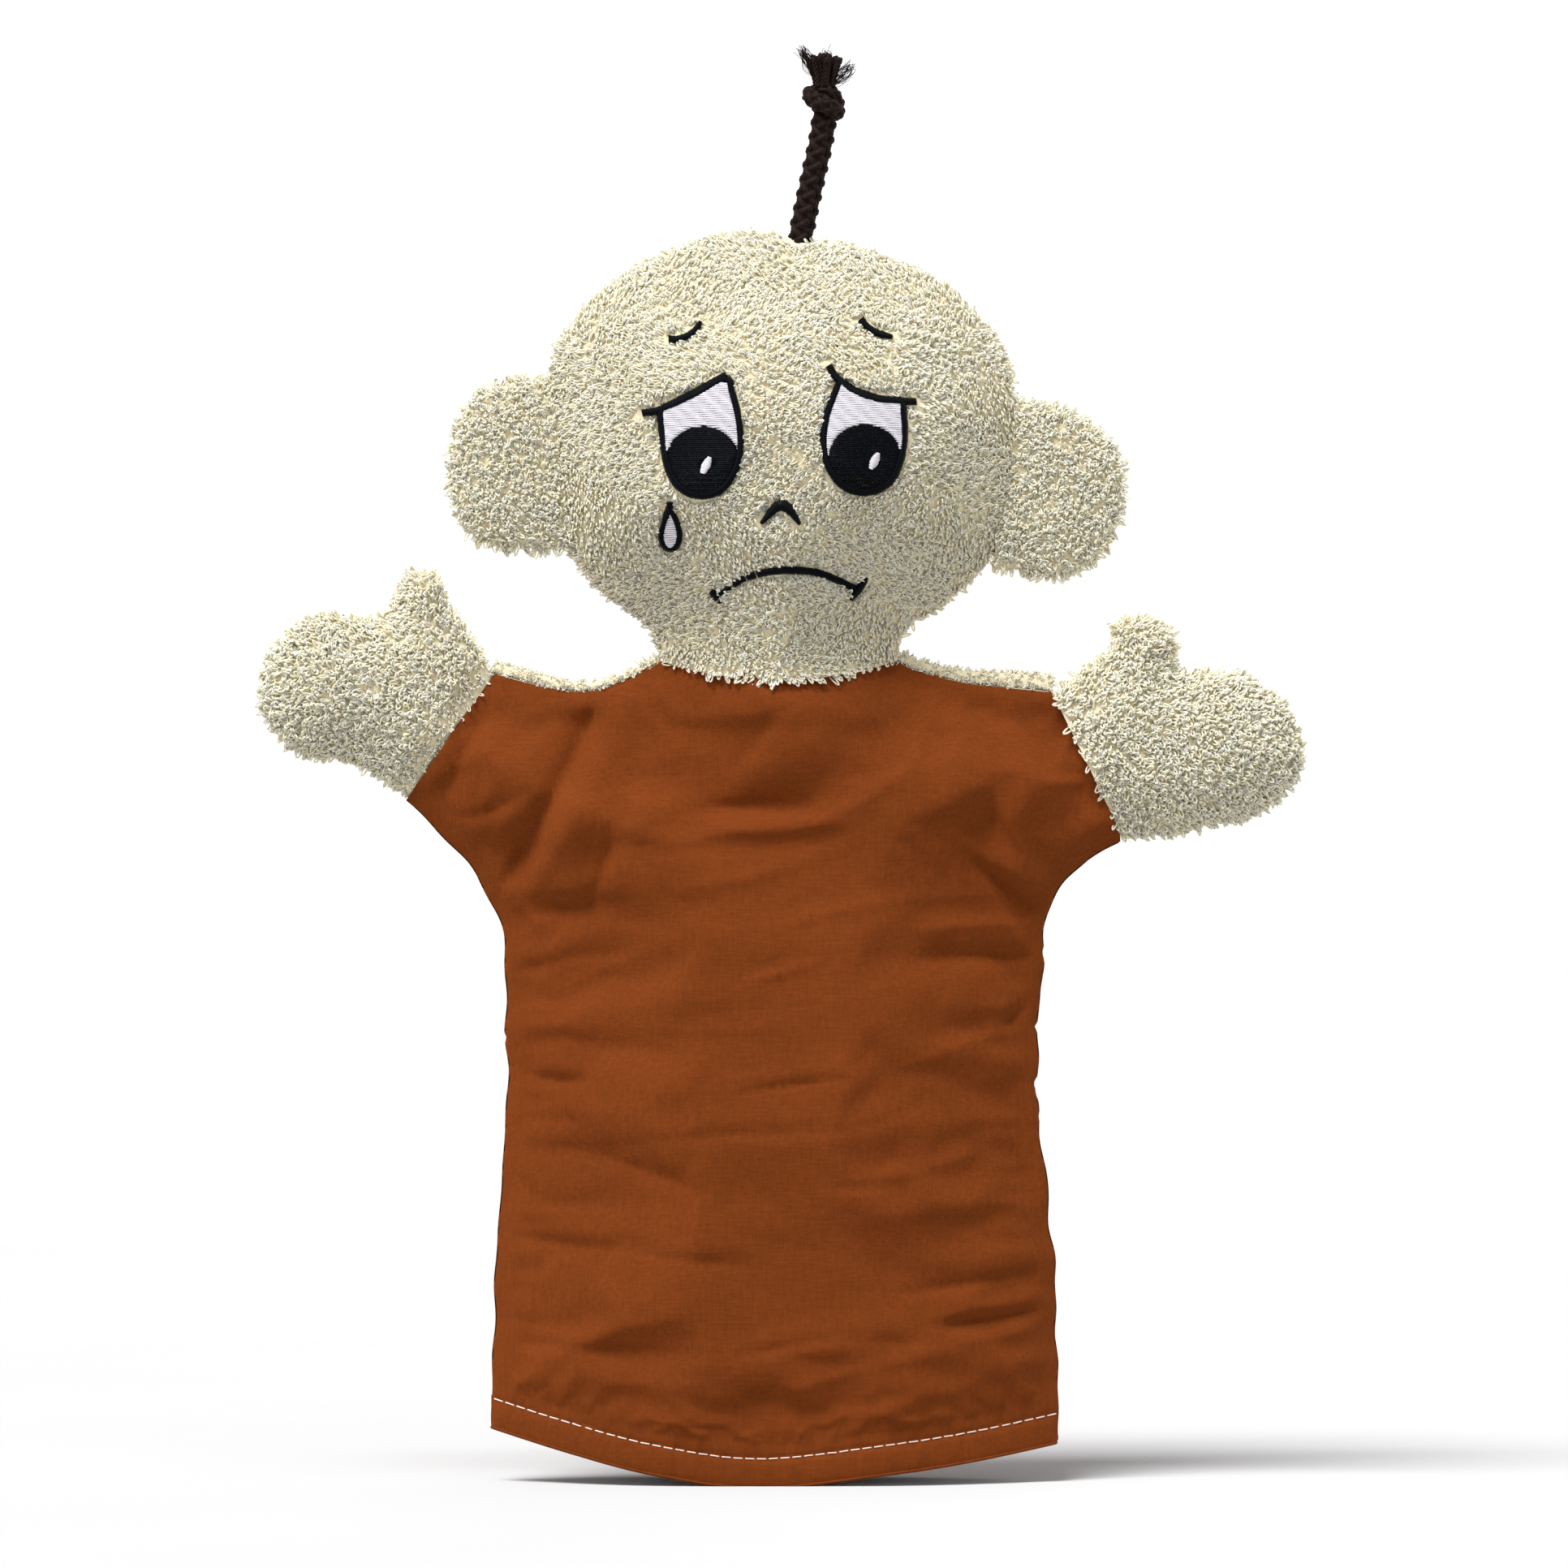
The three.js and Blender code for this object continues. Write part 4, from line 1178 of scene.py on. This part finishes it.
def hem_shape(spots):
    """The turned-up hem: a soft bulge below its stitches, which pull the cloth in and pucker it."""
    up = hem_height(spots)
    bulge = 0.5 * np.sin(math.pi * np.clip(up / HEM_UP, 0, 1)) ** 0.7
    line = np.exp(-((up - HEM_UP) / 0.8) ** 2)
    puckers = np.sin(spots[:, 0] * 2 * math.pi / STITCH_PITCH) * np.exp(-((up - HEM_UP) / 2.6) ** 2)
    slack = ripple(spots, 17, 9, 6, 0.7) * np.exp(-((up - 9) / 6) ** 2)
    return bulge - 0.38 * line + 0.1 * puckers + 0.2 * slack


def shirt_outline():
    right, left = side_lines["right"], side_lines["left"]
    tops = shoulder_lines
    cuffs = {hand: even(np.array([BODY_SIDES[hand][-1], SHOULDERS[hand][0]], float), 1.8) for hand in SIDES}
    neck = even(np.array([SHOULDERS["left"][-1], SHOULDERS["right"][-1]], float), 1.8)
    return np.vstack([
        spline(HEM, 1.1)[:-1], left[:-1], cuffs["left"][:-1], tops["left"][:-1], neck[:-1],
        tops["right"][::-1][:-1], cuffs["right"][::-1][:-1], right[::-1][:-1],
    ])


def arm_cut(hand):
    """The line across the body where the arm starts to turn, through the shoulder's pivot."""
    _, up, _ = wrist(hand)
    pivot = np.array(ARM_PIVOTS[hand], float)
    return even(np.array([pivot - up * 60, pivot + up * 60]), 2.2)


def beyond_arm_cut(hand, flat):
    _, _, out = wrist(hand)
    return ((flat - np.array(ARM_PIVOTS[hand])) @ out > 0) & (flat[:, 1] > 120)


def evened(points, faces, loose, rounds=14):
    """Draws each loose point towards the middle of its neighbours, a few times over."""
    start, end = faces.ravel(), np.roll(faces, -1, axis=1).ravel()
    count = np.bincount(start, minlength=len(points))[:, None]
    for _ in range(rounds):
        total = np.stack([np.bincount(start, points[end, axis], len(points)) for axis in range(3)], axis=1)
        middle = total / np.maximum(count, 1)
        points = np.where(loose[:, None], lerp(points, middle, 0.5), points)
    return points


def relaxed(points, faces, loose, frames=20, cap=2.6):
    """Lets Blender's cloth settle the loose points, with a light pressure from inside."""
    piece = make("settling", points, faces, [])
    group = piece.vertex_groups.new(name="held")
    held = np.flatnonzero(~loose)
    group.add(held.tolist(), 1.0, "REPLACE")
    cloth = piece.modifiers.new("cloth", "CLOTH")
    settings = cloth.settings
    settings.quality = 6
    settings.vertex_group_mass = "held"
    settings.mass = 0.12
    settings.tension_stiffness = 12
    settings.compression_stiffness = 12
    settings.shear_stiffness = 4
    settings.bending_stiffness = 0.1
    settings.shrink_min = -0.03
    settings.use_pressure = True
    settings.uniform_pressure_force = 0.35
    settings.effector_weights.gravity = 0
    cloth.point_cache.frame_start = 1
    cloth.point_cache.frame_end = frames
    for number in range(1, frames + 1):
        bpy.context.scene.frame_set(number)
    settled = piece.evaluated_get(bpy.context.evaluated_depsgraph_get())
    moved = np.array([v.co for v in settled.data.vertices]) / MM
    bpy.data.objects.remove(piece)
    bpy.context.scene.frame_set(1)
    shift = moved - points
    far = np.linalg.norm(shift, axis=1, keepdims=True)
    return points + shift * np.minimum(1, cap / np.maximum(far, 1e-6))


def subdivided(points, faces, groups):
    """One smooth subdivision. The groups number the faces and are carried over."""
    piece = make("finer", points, faces, [], groups)
    finer = piece.modifiers.new("finer", "SUBSURF")
    finer.levels = 1
    finer.boundary_smooth = "PRESERVE_CORNERS"
    mesh = piece.evaluated_get(bpy.context.evaluated_depsgraph_get()).data
    new_points = np.array([v.co for v in mesh.vertices]) / MM
    new_faces = np.array([p.vertices[:] for p in mesh.polygons])
    new_groups = np.array([p.material_index for p in mesh.polygons])
    bpy.data.objects.remove(piece)
    return new_points, new_faces, new_groups


def shirt_mesh():
    """The whole body with its sleeves. Returns points, faces and each face's side, front or back."""
    outline = shirt_outline()
    box = (outline.min(0), outline.max(0))
    coarse, fine = honeycomb(box, 2.5), honeycomb(box, 1.1)
    inner = np.vstack([coarse[hem_height(coarse) > 14], fine[hem_height(fine) < 13]])
    yoke = even(np.array([[-95.0, YOKE_Z], [95.0, YOKE_Z]]), 2.2)
    inner = inner[nearest(np.vstack([outline, outline[:1]]), inner)[0] > 0.7]
    cuts = (yoke, arm_cut("right"), arm_cut("left"))
    for cut in cuts:
        inner = inner[nearest(cut, inner)[0] > 1.1]
    inner = inner[contains(outline, inner)]
    flat, triangles = triangulate(outline, inner, [trimmed(cut) for cut in cuts])
    points, faces = shell(flat, triangles, body_depth)
    sides = np.repeat([0, 1], len(faces) // 2)
    spots = flat_of(points)
    openings = [np.array([BODY_SIDES[h][-1], SHOULDERS[h][0]], float) for h in SIDES]
    openings.append(np.array([SHOULDERS["left"][-1], SHOULDERS["right"][-1]], float))
    free = np.min([nearest(line, spots)[0] for line in openings], axis=0)
    free = (free > 0.4) & (body_away(spots) > 5) & (hem_height(spots) > 10)
    points = evened(points, faces, free)
    points = relaxed(points, faces, free)
    points, faces, sides = subdivided(points, faces, sides)
    spots = flat_of(points)
    folds = np.where(points[:, 1] < 0, wrinkled(spots, FRONT), wrinkled(spots, BACK))
    hem = hem_shape(spots) * smoothstep(body_away(spots), 0, 2)
    points[:, 1] += np.sign(points[:, 1]) * (folds + hem)
    return points, faces, sides


def trimmed(line):
    """The part of a cut line inside the body's outline."""
    return line[contains(shirt_outline(), line)]


def make_cloth(name, shirt, faces, finish, nodes, thickness=COTTON):
    """A piece of the shirt. It keeps the whole shirt's shading, so that its cut edges don't show."""
    kept, index = np.unique(faces, return_inverse=True)
    normals = shirt["normals"][kept]
    cloth = thickened(shirt["points"][kept], index.reshape(faces.shape), thickness, normals)
    piece = make(name, *cloth, [finish], normals=np.vstack([normals, -normals]))
    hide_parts(*nodes)
    return piece


def turn_arm(piece):
    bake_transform(piece)


def terry_over(name, points, faces, seed):
    """Loops on the back yoke."""
    triangles = np.vstack([faces[:, :3], faces[:, [0, 2, 3]]])
    rng = np.random.default_rng(seed)
    spots, normals = scatter(points, triangles, LOOPS * 0.95, rng)
    return grown_pile(name, spots, normals, any_way(len(spots), rng), seed, terry)


def along_top(hand, outer, seed):
    """The yoke's terry edge, rolled over behind a shoulder seam: its ground and its loops. It is
    made in two lengths, one each side of the line where the arm starts to turn."""
    line = even(shoulder_lines[hand], 0.8)
    line = line[beyond_arm_cut(hand, line) == outer]
    wrist_x, neck_x = SHOULDERS[hand][0][0], SHOULDERS[hand][-1][0]
    share = np.abs(line[:, 0] - neck_x) / abs(wrist_x - neck_x)
    radius = lerp(*TOP_ROLL[hand], smoothstep(share, 0, 1))
    middle = np.stack([line[:, 0], radius + 0.1, line[:, 1] + radius * 0.55], axis=1)
    points, faces = tubes(middle[None], radius[None], np.array([0, 1.0, 0]), sides=10)
    triangles = np.vstack([faces[:, :3], faces[:, [0, 2, 3]]])
    rng = np.random.default_rng(seed)
    spots, normals = scatter(points, triangles, LOOPS * 1.1, rng)
    towards = any_way(len(spots), rng)
    return (points, faces), grown_pile(f"roll_{seed}", spots, normals, towards, seed, terry, 0.65)


def make_trunk(shirt, faces, front, yoked):
    """The shirt between the arms, where front and yoked say which of its faces are which."""
    panel = make_cloth("body_front_cloth", shirt, faces[front], brown, ["body_front_panel"])
    back = make_cloth("body_back_cloth", shirt, faces[~front & ~yoked], brown,
                      ["body_back_panel"])
    yoke = make_cloth("back_yoke_cloth", shirt, faces[yoked], ground, ["back_shoulder_yoke"])
    pile = terry_over("back_yoke_pile", shirt["points"], faces[yoked], 101)
    for piece in (panel, back, yoke, pile):
        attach(piece, "torso")
    return panel, back


def make_sleeve(hand, seed, shirt, faces, front, yoked):
    """One sleeve, and the yoke's rolled edge along that whole shoulder."""
    pieces = [
        make_cloth(f"{hand}_sleeve_front_cloth", shirt, faces[front], brown,
                   [f"{hand}_sleeve_front"]),
        make_cloth(f"{hand}_sleeve_back_cloth", shirt, faces[~front & ~yoked], brown,
                   [f"{hand}_sleeve_back"]),
        make_cloth(f"{hand}_sleeve_yoke_cloth", shirt, faces[yoked], ground,
                   [f"{hand}_sleeve_yoke"]),
        terry_over(f"{hand}_sleeve_yoke_pile", shirt["points"], faces[yoked], 110 + seed),
    ]
    for outer, place in ((True, "sleeve"), (False, "shoulder")):
        roll, loops = along_top(hand, outer, 120 + 10 * outer + seed)
        loops.name = f"{hand}_{place}_top_pile"
        edge = make(f"{hand}_{place}_top_cloth", *roll, [ground])
        for piece in (loops, edge):
            if outer:
                pieces.append(piece)
            else:
                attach(piece, "torso")
    for piece in pieces:
        turn_arm(piece)


def make_body():
    points, faces, sides = shirt_mesh()
    shirt = {"points": points, "normals": point_normals(points, faces)}
    middles = flat_of(points[faces].mean(axis=1))
    front = sides == 0
    yoked = ~front & (middles[:, 1] > YOKE_Z)
    arms = {hand: beyond_arm_cut(hand, middles) for hand in SIDES}
    trunk = ~arms["right"] & ~arms["left"]
    panel, back = make_trunk(shirt, faces[trunk], front[trunk], yoked[trunk])
    for seed, (hand, arm) in enumerate(arms.items()):
        make_sleeve(hand, seed, shirt, faces[arm], front[arm], yoked[arm])
    return points, faces, sides


def make_hem(points, faces, sides):
    """The hem's turned-up inside and its row of pale stitches, on the front and on the back."""
    pale = thread("pale_thread", (0.85, 0.74, 0.68), 0.12)
    facings, stitches = [], []
    surface = BVHTree.FromPolygons(points.tolist(), faces.tolist())
    for side in (FRONT, BACK):
        used_points = points[np.unique(faces[sides == (side > 0)])]
        edge = used_points[hem_height(flat_of(used_points)) < 0.12]
        edge = edge[np.argsort(edge[:, 0])]
        inward = np.minimum(1, np.abs(edge[:, 1]) / 2)
        strip = [edge + np.stack([0 * inward, -side * far * inward, 0 * inward + up], axis=1)
                 for far, up in HEM_ROWS]
        count = len(edge)
        grid = np.vstack(strip)
        i = np.arange(count - 1)
        quads = np.vstack([np.stack([i, i + 1, i + 1 + count, i + count], axis=1) + count * r
                           for r in range(len(HEM_ROWS) - 1)])
        facings.append((grid, quads if side > 0 else quads[:, ::-1]))
        stitches.append(hem_stitches(surface, side))
    fold_piece = make("hem_facing", *thickened(*joined(facings), -0.3), [brown])
    row = make("hem_stitches", *joined(stitches), [pale])
    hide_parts("hem_stitching")
    for piece in (fold_piece, row):
        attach(piece, "torso")


def laid_on(surface, flat, side, up):
    """Places on the shirt's front or back, some way above its cloth."""
    spots = []
    for (x, z), lift in zip(flat, up):
        hit = surface.ray_cast(Vector((x, 60 * side, z)), Vector((0, -side, 0)))[0]
        spots.append([x, (hit.y if hit else 0) + side * lift, z])
    return np.array(spots)


def hem_stitches(surface, side, length=2.45):
    rng = np.random.default_rng(140 + side)
    line = even(hem_line + np.array([0, HEM_UP]), STITCH_PITCH)
    line[:, 0] *= 0.993
    t = np.linspace(-0.5, 0.5, 8)
    parts = []
    for start, end in zip(line, line[1:]):
        run = (end - start) / np.linalg.norm(end - start)
        middle = (start + end) / 2
        flat = middle + np.outer(t * length, run + np.array([0, rng.normal(0, 0.03)]))
        up = 0.16 - 0.55 * np.abs(2 * t) ** 4
        parts.append(tubes(laid_on(surface, flat, side, up)[None], 0.17, np.array([0, 0, 1.0]), sides=6))
    return joined(parts)


# ---- Hands ---------------------------------------------------------------------------------------

def fold_hand(piece):
    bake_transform(piece)


def make_hand(hand, seed):
    middle, up, out = wrist(hand)
    free = spline(HANDS[hand], 1.2)
    seam = inset(free, PILE)
    seam[0], seam[-1] = free[0] - up * 0.8, free[-1] + up * 0.8
    tuck = [seam[0] - out * 14, *seam, seam[-1] - out * 14]
    ring = np.vstack([seam, even(np.array([seam[-1], seam[0]]), 1.6)[1:-1]])

    def depth(spots):
        away = nearest(np.array(tuck), spots)[0]
        past = np.clip((spots - middle) @ out, 0, None)
        own = puffed(away, HAND_PUFF) + rounded(away, GROUND)
        at_wrist = body_depth(spots - np.outer(past + 0.6, out)) * smoothstep(away, 0, 2)
        return lerp(at_wrist, own, smoothstep(past, 0, 9))

    points, faces = shell(*filled(ring, 1.8), depth)
    cloth = make(f"{hand}_hand_cloth", *thickened(points, faces, 0.7), [ground])
    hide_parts(f"{hand}_hand_front", f"{hand}_hand_back")
    rng = np.random.default_rng(seed)
    spots, normals = scatter(points, faces, LOOPS, rng)
    past = (flat_of(spots) - middle) @ out
    begin, size = WRIST_PILE[hand]
    size = lerp(size, 1.15, smoothstep(past, 0.5, 7))
    towards = any_way(len(spots), rng) * 0.6 + np.array([0.7 * out[0], 0, 0.7 * out[1] - 0.5])
    pieces = [cloth]
    for side, part in (("front", spots[:, 1] <= 0), ("back", spots[:, 1] > 0)):
        part = part & (past > begin)
        pieces.append(grown_pile(f"{hand}_hand_pile_{side}", spots[part], normals[part], towards[part],
                                 seed, terry, size[part]))
    for piece in pieces:
        fold_hand(piece)


# ---- Inside the head -----------------------------------------------------------------------------

def make_inside():
    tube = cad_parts["finger_tube"]
    tube.data.materials.clear()
    tube.data.materials.append(card())
    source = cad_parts["head_stuffing"]
    mass = bpy.data.objects.new("head_stuffing_fibre", source.data.copy())
    bpy.context.scene.collection.objects.link(mass)
    remesh = mass.modifiers.new("remesh", "REMESH")
    remesh.mode = "VOXEL"
    remesh.voxel_size = 2.2 * MM
    shape = mass.evaluated_get(bpy.context.evaluated_depsgraph_get())
    mesh = bpy.data.meshes.new_from_object(shape)
    mass.modifiers.clear()
    mass.data = mesh
    points = np.array([v.co for v in mesh.vertices]) / MM
    normals = np.array([v.normal for v in mesh.vertices])
    lumps = 0.5 * ripple(points, 150, 9) - 0.9
    mesh.vertices.foreach_set("co", ((points + normals * lumps[:, None]) * MM).astype(np.float32).ravel())
    mesh.materials.clear()
    mesh.materials.append(stuffing_fibre())
    mesh.shade_smooth()
    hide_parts("head_stuffing")
    bend_neck(mass)


make_head()
make_ear("right", 160)
make_ear("left", 161)
make_hem(*make_body())
make_hand("right", 170)
make_hand("left", 171)
make_inside()
